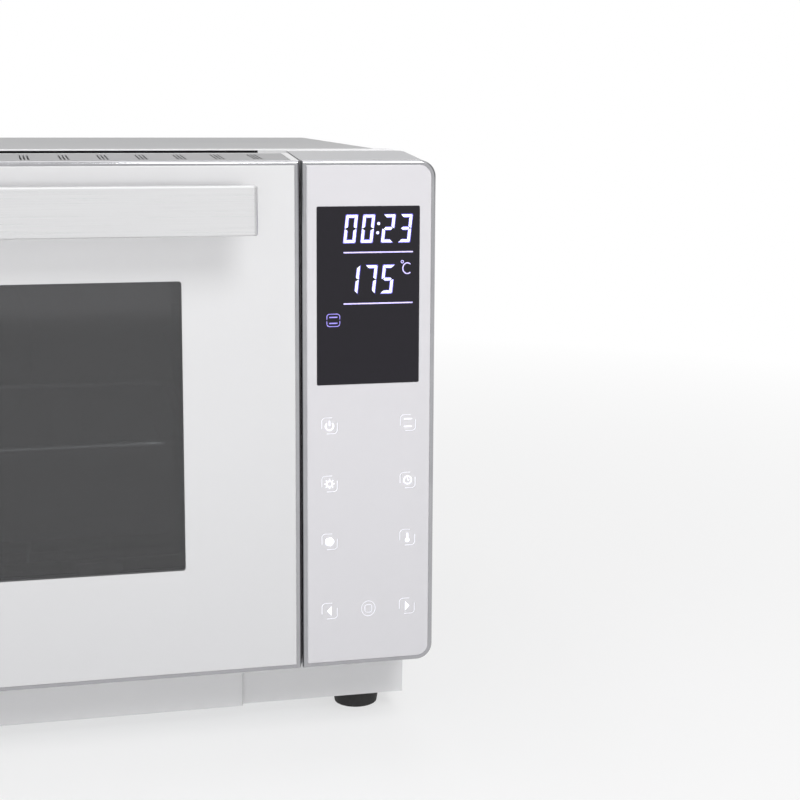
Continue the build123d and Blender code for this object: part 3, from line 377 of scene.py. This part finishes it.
glowLooks = {
    "displayGlow": dict(color=(0.86, 0.88, 1.0), other=(0.62, 0.62, 1.0), cloud=500, strength=0.75),
    "haloGlow": dict(color=(0.10, 0.08, 0.50), other=(0.14, 0.12, 0.66), cloud=500, strength=0.55),
    "ruleGlow": dict(color=(0.52, 0.46, 0.95), other=(0.62, 0.56, 1.0), cloud=300, strength=0.55),
    "modeGlow": dict(color=(0.22, 0.18, 0.62), other=(0.34, 0.28, 0.80), cloud=500, strength=0.5),
    "keyGlow": dict(color=(0.95, 0.95, 1.0), other=(0.88, 0.89, 1.0), cloud=300, strength=0.35),
    "keyLine": dict(color=(0.80, 0.80, 0.86), other=(0.86, 0.86, 0.92), cloud=260, strength=0.06),
}

finishes = {name: makeMetal(name, look) for name, look in metalLooks.items()}
finishes.update({name: makeCoat(name, look) for name, look in coatLooks.items()})
finishes.update({name: makeClearGlass(name, look) for name, look in clearGlassLooks.items()})
finishes.update({name: makeGlow(name, look) for name, look in glowLooks.items()})
finishes["zincSheet"] = makeZinc("zincSheet", zincLook)
finishes["circuitBoard"] = makeBoard("circuitBoard", boardLook)
# the trim's pearl paint with a dark strip painted as the shadow of the gap above the door
finishes["trimPaintWithShadow"] = makeTrimWithShadow("trimPaintWithShadow", trimShadowLook, coatLooks["pearlPaint"])
finishes["doorGlass"] = makeFrontGlass("doorGlass", doorGlassLook)
finishes["panelGlass"] = makeFrontGlass("panelGlass", panelGlassLook)

nodeFinishes = {
    "pearlPaint": ("plinth", "crumb_tray_front", "door_frame"),
    "shellPaintShaded": ("cabinet_shell",),
    "trimPaintWithShadow": ("cabinet_trim",),
    "pearlPlasticShaded": ("control_housing",),
    "doorGlass": ("door_glass",),
    "panelGlass": ("control_glass",),
    "rimSteel": ("door_rim", "control_rim"),
    "railPaintShaded": ("vent_rail",),
    "handleSteel": ("handle_bar",),
    "postSteel": ("handle_posts", "handle_screws", "fan_shaft", "hinge_pins"),
    "greyEnamel": ("cavity_liner", "fan_cover"),
    "blackEnamel": ("front_frame", "baking_tray"),
    "zincSheet": ("base_pan", "rear_cover", "motor_bracket", "heat_shield", "tray_guides", "hinge_clevises"),
    "pressedSteel": ("crumb_tray_pan", "hinge_arm_left", "hinge_arm_right", "inner_glass_clips", "heater_clips"),
    "springSteel": ("rear_screws", "foot_screws", "touch_springs", "temperature_probe", "fan_nut"),
    "chromedWire": ("wire_rack",),
    "castAluminium": ("fan_impeller", "capacitors"),
    "heaterSheath": ("upper_heater", "lower_heater"),
    "motorIron": ("fan_motor", "transformer"),
    "ceramic": ("heater_bushes", "lamp_socket"),
    "innerGlass": ("inner_glass",),
    "lampGlass": ("lamp_lens", "lamp_bulb"),
    "footRubber": ("foot_front_left", "foot_front_right", "foot_rear_left", "foot_rear_right"),
    "sealRubber": ("door_seal",),
    "blackPlastic": ("cord_gland", "board_standoffs"),
    "relayPlastic": ("relays",),
    "displayPlastic": ("display_module",),
    "circuitBoard": ("power_board", "touch_board"),
}
for finishName, nodeNames in nodeFinishes.items():
    for nodeName in nodeNames:
        mesh = nodes[nodeName].data
        mesh.materials.clear()
        mesh.materials.append(finishes[finishName])
plain = sorted(set(nodes) - {name for names in nodeFinishes.values() for name in names})
print("finishes set, nodes left plain:", plain)


# Marks printed on the front glass. They are drawn across the front in millimetres, x to the right and z up, and
# stand a hair proud of the glass: markBase is the y of their backs, markHeight how far they come forward.

markBase = -141.46
markHeight = 0.14


def strokeShape(path, width, closed=False):
    # a flat bar carried along a path: at each point the bar's four edges are the point plus and minus half the
    # width along the path's normal, at the glass and at the mark's height
    path = np.asarray(path, float)
    if closed:
        ahead, behind = np.roll(path, -1, 0), np.roll(path, 1, 0)
    else:
        ahead = np.vstack((path[1:], path[-1:]))
        behind = np.vstack((path[:1], path[:-1]))
    along = ahead - behind
    along /= np.linalg.norm(along, axis=1, keepdims=True)
    normal = np.column_stack((-along[:, 1], along[:, 0]))
    side = np.array([-0.5, -0.5, 0.5, 0.5]) * width
    lift = np.array([0.0, 1.0, 1.0, 0.0]) * markHeight
    flat = path[:, None, :] + side[None, :, None] * normal[:, None, :]
    points = np.empty((len(path), 4, 3))
    points[..., 0] = flat[..., 0]
    points[..., 1] = markBase - lift
    points[..., 2] = flat[..., 1]
    count = len(path)
    station = np.arange(count if closed else count - 1)
    corner = np.arange(4)
    first = station[:, None] * 4 + corner
    second = station[:, None] * 4 + (corner + 1) % 4
    after = ((station + 1) % count)[:, None] * 4
    faces = np.stack((first, second, after + (corner + 1) % 4, after + corner), -1).reshape(-1, 4).tolist()
    if not closed:
        faces += [[3, 2, 1, 0], [4 * count - 4, 4 * count - 3, 4 * count - 2, 4 * count - 1]]
    return points.reshape(-1, 3), faces


def plateShape(outline):
    # a flat plate: each ring is the middle plus a share of the way to the outline, the shares 0.5 and 1, once at
    # the mark's height and once at the glass, closed by a point in the middle of each
    outline = np.asarray(outline, float)
    middle = outline.mean(0)
    count = len(outline)
    shares = np.array([0.5, 1.0, 1.0, 0.5])
    lifts = np.array([1.0, 1.0, 0.0, 0.0]) * markHeight
    rings = middle + shares[:, None, None] * (outline - middle)[None]
    points = np.empty((4, count, 3))
    points[..., 0] = rings[..., 0]
    points[..., 1] = markBase - lifts[:, None]
    points[..., 2] = rings[..., 1]
    middles = [[middle[0], markBase - markHeight, middle[1]], [middle[0], markBase, middle[1]]]
    points = np.vstack((points.reshape(-1, 3), middles))
    turn = np.arange(count)
    nextTurn = (turn + 1) % count
    ring = np.arange(3)[:, None] * count
    faces = np.stack((ring + turn, ring + nextTurn, ring + count + nextTurn, ring + count + turn), -1)
    faces = faces.reshape(-1, 4).tolist()
    faces += np.stack((turn, nextTurn, np.full(count, 4 * count)), -1).tolist()
    faces += np.stack((3 * count + turn, 3 * count + nextTurn, np.full(count, 4 * count + 1)), -1).tolist()
    return points, faces


def makePiece(name, shapes, finish, body, rise=1.0):
    # shapes put together in one mesh, doubles merged and faces turned outwards, millimetres to metres; rise is the
    # share of the mark's height that these shapes keep
    points, faces, start = [], [], 0
    for shapePoints, shapeFaces in shapes:
        points.append(shapePoints)
        faces += [[start + index for index in face] for face in shapeFaces]
        start += len(shapePoints)
    points = np.vstack(points)
    points[:, 1] = markBase + (points[:, 1] - markBase) * rise
    mesh = bpy.data.meshes.new(name)
    mesh.from_pydata((points / 1000).tolist(), [], faces)
    mesh.validate()
    work = bmesh.new()
    work.from_mesh(mesh)
    bmesh.ops.remove_doubles(work, verts=work.verts, dist=1e-7)
    bmesh.ops.recalc_face_normals(work, faces=work.faces)
    work.to_mesh(mesh)
    work.free()
    mesh.materials.append(finishes[finish])
    piece = bpy.data.objects.new(name, mesh)
    bpy.context.scene.collection.objects.link(piece)
    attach(piece, body)


def arc(middle, radius, start, end, count=20):
    # points on a circle: the middle plus the radius times the cosine and sine of the turn, in degrees from the right
    turn = np.radians(np.linspace(start, end, count))
    return np.column_stack((middle[0] + radius * np.cos(turn), middle[1] + radius * np.sin(turn)))


def ring(middle, radius, width, count=36):
    # a bar carried once round the circle, with its ends joined
    return strokeShape(arc(middle, radius, 0, 360 - 360 / count, count), width, closed=True)


# Seven-bar digits, leaning as on the real display. All lengths of the marks are in millimetres; lean is the shift to
# the right for each millimetre of height, split the half width of the gap between two bars
displayLook = {
    "lean": 0.105,
    "split": 0.13,
    "time": dict(text="00:23", left=194.5, low=257.8, wide=5.6, high=13.3, bar=1.25, gap=2.8, colon=1.6),
    "heat": dict(text="175", left=195.6, low=233.2, wide=5.6, high=13.6, bar=1.25, gap=2.9, colon=1.6),
    "colonDot": 0.72,
    "colonShares": (0.35, 0.68),
    "halo": 0.30,
    "haloRise": 0.7,
    "degree": dict(middle=(223.4, 248.3), radius=0.62, line=0.32),
    "celsius": dict(middle=(225.9, 245.1), wide=2.2, high=2.6, line=0.50, start=48, end=312),
    "rules": ((194.6, 228.6, 253.1), (194.6, 228.6, 228.4)),
    "ruleWidth": 0.62,
    "mode": dict(middle=(189.6, 220.6), wide=3.15, high=3.0, corner=1.3, line=0.34, gap=0.4, barRise=1.45, barHalf=2.0,
                 barLine=0.6),
}
# each bar: its start and end as shares of the digit's width and height, its outer side, and whether it starts and
# ends at a corner
digitBars = {
    "a": ((0, 1), (1, 1), (0, 1), True, True), "b": ((1, 0.5), (1, 1), (1, 0), False, True),
    "c": ((1, 0), (1, 0.5), (1, 0), True, False), "d": ((0, 0), (1, 0), (0, -1), True, True),
    "e": ((0, 0), (0, 0.5), (-1, 0), True, False), "f": ((0, 0.5), (0, 1), (-1, 0), False, True),
}
digitText = {"0": "abcdef", "1": "bc", "2": "abged", "3": "abgcd", "5": "afgcd", "7": "abc"}


def barShape(start, end, outward, half, corners, lean, low):
    # a bar with mitred ends: its outer edge runs on past a corner by half its thickness, its inner edge stops short
    # by as much, and the whole leans with its height
    along = (end - start) / np.linalg.norm(end - start)
    split = displayLook["split"]
    reach = [half - split if corner else -split for corner in corners]
    short = [half + split] * 2
    outline = np.array([
        start - along * reach[0] + outward * half, end + along * reach[1] + outward * half,
        end - along * short[1] - outward * half, start + along * short[0] - outward * half,
    ])
    outline[:, 0] += lean * (outline[:, 1] - low)
    return plateShape(outline)


def middleBar(start, end, half, lean, low):
    # the bar across the middle, with a point at each end
    split = displayLook["split"]
    up = np.array([0.0, half])
    along = (end - start) / np.linalg.norm(end - start)
    outline = np.array([
        start + along * split, start + along * (half + split) + up, end - along * (half + split) + up,
        end - along * split, end - along * (half + split) - up, start + along * (half + split) - up,
    ])
    outline[:, 0] += lean * (outline[:, 1] - low)
    return plateShape(outline)


def digitShapes(mark, left, line):
    # the digit's lit bars: each end is the lower left corner's middle plus its shares of the digit's size
    half = line["bar"] / 2
    foot = np.array([left + half, line["low"] + half])
    size = np.array([line["wide"] - line["bar"], line["high"] - line["bar"]])
    shapes = []
    for bar in digitText[mark]:
        if bar == "g":
            ends = foot + size * np.array([0, 0.5]), foot + size * np.array([1, 0.5])
            shapes.append(middleBar(*ends, half, displayLook["lean"], line["low"]))
            continue
        start, end, outward, *corners = digitBars[bar]
        start, end, outward = foot + size * np.array(start), foot + size * np.array(end), np.array(outward, float)
        shapes.append(barShape(start, end, outward, half, corners, displayLook["lean"], line["low"]))
    return shapes


def lineShapes(line):
    # digits side by side: each starts where the one before ends, plus the gap; a colon is two round dots
    shapes, left = [], line["left"]
    for mark in line["text"]:
        if mark == ":":
            for share in displayLook["colonShares"]:
                z = line["low"] + share * line["high"]
                x = left + line["colon"] / 2 - line["gap"] / 2 + displayLook["lean"] * (z - line["low"])
                shapes.append(plateShape(arc((x, z), displayLook["colonDot"], 0, 340, 18)))
            left += line["colon"]
        else:
            shapes += digitShapes(mark, left, line)
            left += line["wide"] + line["gap"]
    return shapes


def ovalArc(look, count=30):
    # points on an oval: the middle plus its half width times the cosine and its half height times the sine
    turn = np.radians(np.linspace(look["start"], look["end"], count))
    x, z = look["middle"]
    return np.column_stack((x + look["wide"] * np.cos(turn), z + look["high"] * np.sin(turn)))


def widened(line, more):
    # the same digits with every bar thicker by twice as much on the same middle lines
    return dict(line, left=line["left"] - more, low=line["low"] - more, wide=line["wide"] + 2 * more,
                high=line["high"] + 2 * more, bar=line["bar"] + 2 * more, gap=line["gap"] - 2 * more)


textLines = displayLook["time"], displayLook["heat"]
digitsShapes = [shape for line in textLines for shape in lineShapes(line)]
makePiece("display_digits", digitsShapes, "displayGlow", "cabinet")
haloShapes = [shape for line in textLines for shape in lineShapes(widened(line, displayLook["halo"]))]
makePiece("display_halo", haloShapes, "haloGlow", "cabinet", displayLook["haloRise"])
degree, celsius = displayLook["degree"], displayLook["celsius"]
ruleShapes = [
    ring(degree["middle"], degree["radius"], degree["line"], 20),
    strokeShape(ovalArc(celsius), celsius["line"]),
]
for start, end, z in displayLook["rules"]:
    ruleShapes.append(strokeShape(((start, z), ((start + end) / 2, z), (end, z)), displayLook["ruleWidth"]))
makePiece("display_rules", ruleShapes, "ruleGlow", "cabinet")


def modeHalf(look, turn):
    # half of a rounded frame: up one side, over both corners and down to the other side's middle, or turned over
    wide, high, corner = look["wide"], look["high"], look["corner"]
    path = np.vstack((
        [[-wide, look["gap"]]], arc((-wide + corner, high - corner), corner, 180, 90, 8),
        arc((wide - corner, high - corner), corner, 90, 0, 8), [[wide, look["gap"]]],
    ))
    return strokeShape(path * np.array([1, turn]) + np.array(look["middle"]), look["line"])


mode = displayLook["mode"]
modeShapes = [modeHalf(mode, 1), modeHalf(mode, -1)]
for turn in (1, -1):
    x, z = mode["middle"][0], mode["middle"][1] + turn * mode["barRise"]
    barPath = (x - mode["barHalf"], z), (x, z), (x + mode["barHalf"], z)
    modeShapes.append(strokeShape(barPath, mode["barLine"]))
makePiece("mode_mark", modeShapes, "modeGlow", "cabinet")
print("display drawn")


# Key marks, each in a broken rounded square
keyLook = {
    "halfWide": 3.8,
    "halfHigh": 3.95,
    "corner": 1.7,
    "reach": 0.35,
    "frameLine": 0.34,
    "columns": (187.65, 207.1, 226.7),
    "rows": (169.0, 140.1, 111.0, 75.7),
    "power": dict(radius=1.95, drop=0.2, start=132, end=408, stem=2.4, line=0.72),
    "heat": dict(half=2.1, rise=1.9, line=0.55),
    "lamp": dict(radius=1.4, line=0.6, turnStep=45, rayStart=1.8, rayEnd=2.5, rayLine=0.62),
    "clock": dict(radius=1.95, line=0.6, longHand=1.25, shortHand=0.9, handLine=0.42),
    "fan": dict(radius=2.2, lobe=0.14, lobes=5, turnStep=6),
    "level": dict(drop=1.4, radius=1.15, stemLow=0.6, stemHigh=2.2, line=1.0),
    "arrow": dict(ahead=1.3, behind=0.9, half=2.5),
    "start": dict(innerWide=1.75, innerHigh=1.95, innerLine=0.38, wide=3.45, high=3.85, line=0.34, turnStep=10),
}


def cornerStroke(middle, turnBack):
    # half of the broken square: down the side, round one corner and along the top, or the same turned half round
    x, z = middle
    wide, high, corner = keyLook["halfWide"], keyLook["halfHigh"], keyLook["corner"]
    bend = arc((-wide + corner, high - corner), corner, 180, 90, 10)
    path = np.vstack(([[-wide, -high * keyLook["reach"]]], bend, [[wide * keyLook["reach"], high]]))
    if turnBack:
        path = -path
    return strokeShape(path + np.array([x, z]), keyLook["frameLine"])


def straight(start, end, width):
    # a bar from start to end by way of the point halfway between them
    start, end = np.asarray(start, float), np.asarray(end, float)
    return strokeShape(np.vstack((start, (start + end) / 2, end)), width)


def powerMark(x, z):
    # an open ring with a stem from its middle up through the opening
    look = keyLook["power"]
    openRing = arc((x, z - look["drop"]), look["radius"], look["start"], look["end"], 28)
    return [strokeShape(openRing, look["line"]), straight((x, z), (x, z + look["stem"]), look["line"])]


def heatMark(x, z):
    # two level bars, one above the other
    look = keyLook["heat"]
    heights = z + look["rise"], z - look["rise"]
    return [straight((x - look["half"], level), (x + look["half"], level), look["line"]) for level in heights]


def lampMark(x, z):
    # a ring with eight short rays
    look = keyLook["lamp"]
    middle = np.array([x, z])
    shapes = [ring((x, z), look["radius"], look["line"])]
    for turn in range(0, 360, look["turnStep"]):
        way = np.array([math.cos(math.radians(turn)), math.sin(math.radians(turn))])
        shapes.append(straight(middle + look["rayStart"] * way, middle + look["rayEnd"] * way, look["rayLine"]))
    return shapes


def clockMark(x, z):
    # a ring with two hands, one up and one to the right
    look = keyLook["clock"]
    return [
        ring((x, z), look["radius"], look["line"]),
        straight((x, z), (x, z + look["longHand"]), look["handLine"]),
        straight((x, z), (x + look["shortHand"], z), look["handLine"]),
    ]


def fanMark(x, z):
    # five shallow lobes: the radius is its mean plus the lobe's height times the cosine of five times the turn
    look = keyLook["fan"]
    turn = np.radians(np.arange(0, 360, look["turnStep"]))
    radius = look["radius"] + look["lobe"] * np.cos(look["lobes"] * turn)
    return [plateShape(np.column_stack((x + radius * np.cos(turn), z + radius * np.sin(turn))))]


def levelMark(x, z):
    # a thermometer: a round bulb below an upright stem
    look = keyLook["level"]
    stem = (x, z - look["stemLow"]), (x, z + look["stemHigh"])
    return [plateShape(arc((x, z - look["drop"]), look["radius"], 0, 345, 24)), straight(*stem, look["line"])]


def arrowMark(x, z, way):
    # a triangle with its point to the right where way is 1, and to the left where it is -1
    look = keyLook["arrow"]
    back = x - look["behind"] * way
    return [plateShape(np.array([[x + look["ahead"] * way, z], [back, z + look["half"]], [back, z - look["half"]]]))]


def leftArrow(x, z):
    # the triangle turned to point to the left
    return arrowMark(x, z, -1)


def rightArrow(x, z):
    # the triangle pointing to the right
    return arrowMark(x, z, 1)


def startMark(x, z):
    # an oval ring round a rounded square, whose radius is 1 over the fourth root of the sum of the fourth powers of
    # the turn's cosine and sine
    look = keyLook["start"]
    turn = np.radians(np.arange(0, 360, look["turnStep"]))
    square = (np.abs(np.cos(turn)) ** 4 + np.abs(np.sin(turn)) ** 4) ** -0.25
    wide, high = look["innerWide"] * square, look["innerHigh"] * square
    path = np.column_stack((x + wide * np.cos(turn), z + high * np.sin(turn)))
    outer = np.column_stack((x + look["wide"] * np.cos(turn), z + look["high"] * np.sin(turn)))
    return [strokeShape(path, look["innerLine"], closed=True), strokeShape(outer, look["line"], closed=True)]


left, centre, right = keyLook["columns"]
keyPairs = (powerMark, heatMark), (lampMark, clockMark), (fanMark, levelMark), (leftArrow, rightArrow)
keyShapes, frameShapes = [], startMark(centre, keyLook["rows"][-1])
for row, (leftMark, rightMark) in zip(keyLook["rows"], keyPairs):
    keyShapes += leftMark(left, row) + rightMark(right, row)
    for column in (left, right):
        frameShapes += [cornerStroke((column, row), False), cornerStroke((column, row), True)]
makePiece("key_marks", keyShapes, "keyGlow", "cabinet")
makePiece("key_frames", frameShapes, "keyLine", "cabinet")
print("keys drawn")


# Floor: pale, keeps the shadow; its light to the camera, to metal and to glass rises to white away from the oven

floorLook = dict(size=5.0, rings=24, turns=64, color=(0.86, 0.86, 0.865), nearGlow=0.60, nearRadius=0.35, farRadius=1.3)


def makeFloor():
    # a disc of rings: the radius grows with the square of the ring's number, so the middle has the small faces
    rings, turns = floorLook["rings"], floorLook["turns"]
    radius = floorLook["size"] * (np.arange(1, rings + 1) / rings) ** 2
    turn = np.linspace(0, 2 * np.pi, turns, endpoint=False)
    points = np.zeros((rings, turns, 3))
    points[..., 0] = radius[:, None] * np.cos(turn)
    points[..., 1] = radius[:, None] * np.sin(turn)
    points = np.vstack((points.reshape(-1, 3), [[0, 0, 0]]))
    step = np.arange(turns)
    ringStart = np.arange(rings - 1)[:, None] * turns
    after = (step + 1) % turns
    faces = np.stack((ringStart + step, ringStart + turns + step, ringStart + turns + after, ringStart + after), -1)
    faces = faces.reshape(-1, 4).tolist() + np.stack((step, after, np.full(turns, rings * turns)), -1).tolist()
    mesh = bpy.data.meshes.new("studio_floor")
    mesh.from_pydata(points.tolist(), [], faces)
    floor = bpy.data.objects.new("studio_floor", mesh)
    bpy.context.scene.collection.objects.link(floor)
    material = bpy.data.materials.new("studioFloor")
    material.use_nodes = True
    tree = material.node_tree
    tree.nodes.clear()
    diffuse = tree.nodes.new("ShaderNodeBsdfDiffuse")
    diffuse.inputs["Color"].default_value = (*floorLook["color"], 1.0)
    glow = tree.nodes.new("ShaderNodeEmission")
    mixer = tree.nodes.new("ShaderNodeMixShader")
    output = tree.nodes.new("ShaderNodeOutputMaterial")
    place = tree.nodes.new("ShaderNodeTexCoord")
    length = tree.nodes.new("ShaderNodeVectorMath")
    length.operation = "LENGTH"
    tree.links.new(place.outputs["Object"], length.inputs[0])
    radii = floorLook["nearRadius"], floorLook["farRadius"]
    share = spread(tree, length.outputs["Value"], floorLook["nearGlow"], 1.0, *radii)
    rays = tree.nodes.new("ShaderNodeLightPath")
    seen = mathStep(tree, "MAXIMUM", rays.outputs["Is Camera Ray"], rays.outputs["Is Glossy Ray"])
    seen = mathStep(tree, "MAXIMUM", seen, rays.outputs["Is Transmission Ray"])
    tree.links.new(mathStep(tree, "MULTIPLY", share, seen), mixer.inputs["Fac"])
    tree.links.new(diffuse.outputs["BSDF"], mixer.inputs[1])
    tree.links.new(glow.outputs["Emission"], mixer.inputs[2])
    tree.links.new(mixer.outputs["Shader"], output.inputs["Surface"])
    mesh.materials.append(material)


makeFloor()


# light is the strength that falls on the oven; the flags' grey starts and is full where a ray's x part is flagEdges
worldLook = dict(light=0.42, flag=0.30, flagEdges=(0.55, 0.85))


def makeWorld():
    # white where the camera and glass see it and a plain soft grey where it lights the object; what metal mirrors is
    # white too, and falls to the flags' grey at the far left and right, so that bright edges show their shape
    world = bpy.data.worlds.new("studioWorld")
    bpy.context.scene.world = world
    world.use_nodes = True
    tree = world.node_tree
    tree.nodes.clear()
    background = tree.nodes.new("ShaderNodeBackground")
    background.inputs["Color"].default_value = (1.0, 1.0, 1.0, 1.0)
    output = tree.nodes.new("ShaderNodeOutputWorld")
    rays = tree.nodes.new("ShaderNodeLightPath")
    place = tree.nodes.new("ShaderNodeTexCoord")
    parts = tree.nodes.new("ShaderNodeSeparateXYZ")
    tree.links.new(place.outputs["Generated"], parts.inputs["Vector"])
    aside = mathStep(tree, "ABSOLUTE", parts.outputs["X"])
    flags = spread(tree, aside, 1.0, worldLook["flag"], *worldLook["flagEdges"])
    direct = mathStep(tree, "MAXIMUM", rays.outputs["Is Camera Ray"], rays.outputs["Is Transmission Ray"])
    mirrored = mathStep(tree, "MULTIPLY", rays.outputs["Is Glossy Ray"], flags)
    seen = mathStep(tree, "MAXIMUM", mathStep(tree, "MAXIMUM", direct, mirrored), worldLook["light"])
    tree.links.new(seen, background.inputs["Strength"])
    tree.links.new(background.outputs["Background"], output.inputs["Surface"])


makeWorld()

lampAim = Vector((0, 0, 0.15))
lampLooks = {
    "key_lamp": dict(place=(0.45, -1.35, 1.15), size=0.55, power=13.5, mirrored=True),
    "side_lamp": dict(place=(-1.5, -1.2, 0.9), size=1.2, power=4, mirrored=False),
    "top_lamp": dict(place=(0.0, 0.5, 2.0), size=1.6, power=8, mirrored=True),
    "low_lamp": dict(place=(0.0, -1.7, 0.22), size=0.9, power=5.5, mirrored=False),
}
for lampName, lampLook in lampLooks.items():
    light = bpy.data.lights.new(lampName, "AREA")
    light.size = lampLook["size"]
    light.energy = lampLook["power"]
    lamp = bpy.data.objects.new(lampName, light)
    lamp.location = lampLook["place"]
    lamp.rotation_euler = (lampAim - Vector(lampLook["place"])).to_track_quat("-Z", "Y").to_euler()
    lamp.visible_glossy = lampLook["mirrored"]
    bpy.context.scene.collection.objects.link(lamp)
print("floor and lamps in place")


# Camera at the photograph's place: yaw to the right, pitch down and roll, all in radians

cameraLook = dict(place=(0.0615, -0.84286, 0.32471), yaw=0.22555, pitch=0.14465, roll=0.00558, lens=67.5, shiftY=-0.10)
yaw, pitch, roll = cameraLook["yaw"], cameraLook["pitch"], cameraLook["roll"]
forward = np.array([math.sin(yaw) * math.cos(pitch), math.cos(yaw) * math.cos(pitch), -math.sin(pitch)])
sideways = np.array([math.cos(yaw), -math.sin(yaw), 0.0])
upward = np.cross(sideways, forward)
rolledSide = sideways * math.cos(roll) + upward * math.sin(roll)
rolledUp = -sideways * math.sin(roll) + upward * math.cos(roll)
cameraData = bpy.data.cameras.new("photo_camera")
cameraData.sensor_width = 36
cameraData.lens = cameraLook["lens"]
cameraData.shift_y = cameraLook["shiftY"]
cameraData.clip_start = 0.02
camera = bpy.data.objects.new("photo_camera", cameraData)
turned = Matrix(np.column_stack((rolledSide, rolledUp, -forward)).tolist()).to_4x4()
camera.matrix_world = Matrix.Translation(cameraLook["place"]) @ turned
bpy.context.scene.collection.objects.link(camera)
bpy.context.scene.camera = camera
bpy.context.scene.view_settings.view_transform = "Standard"

print("scene ready")
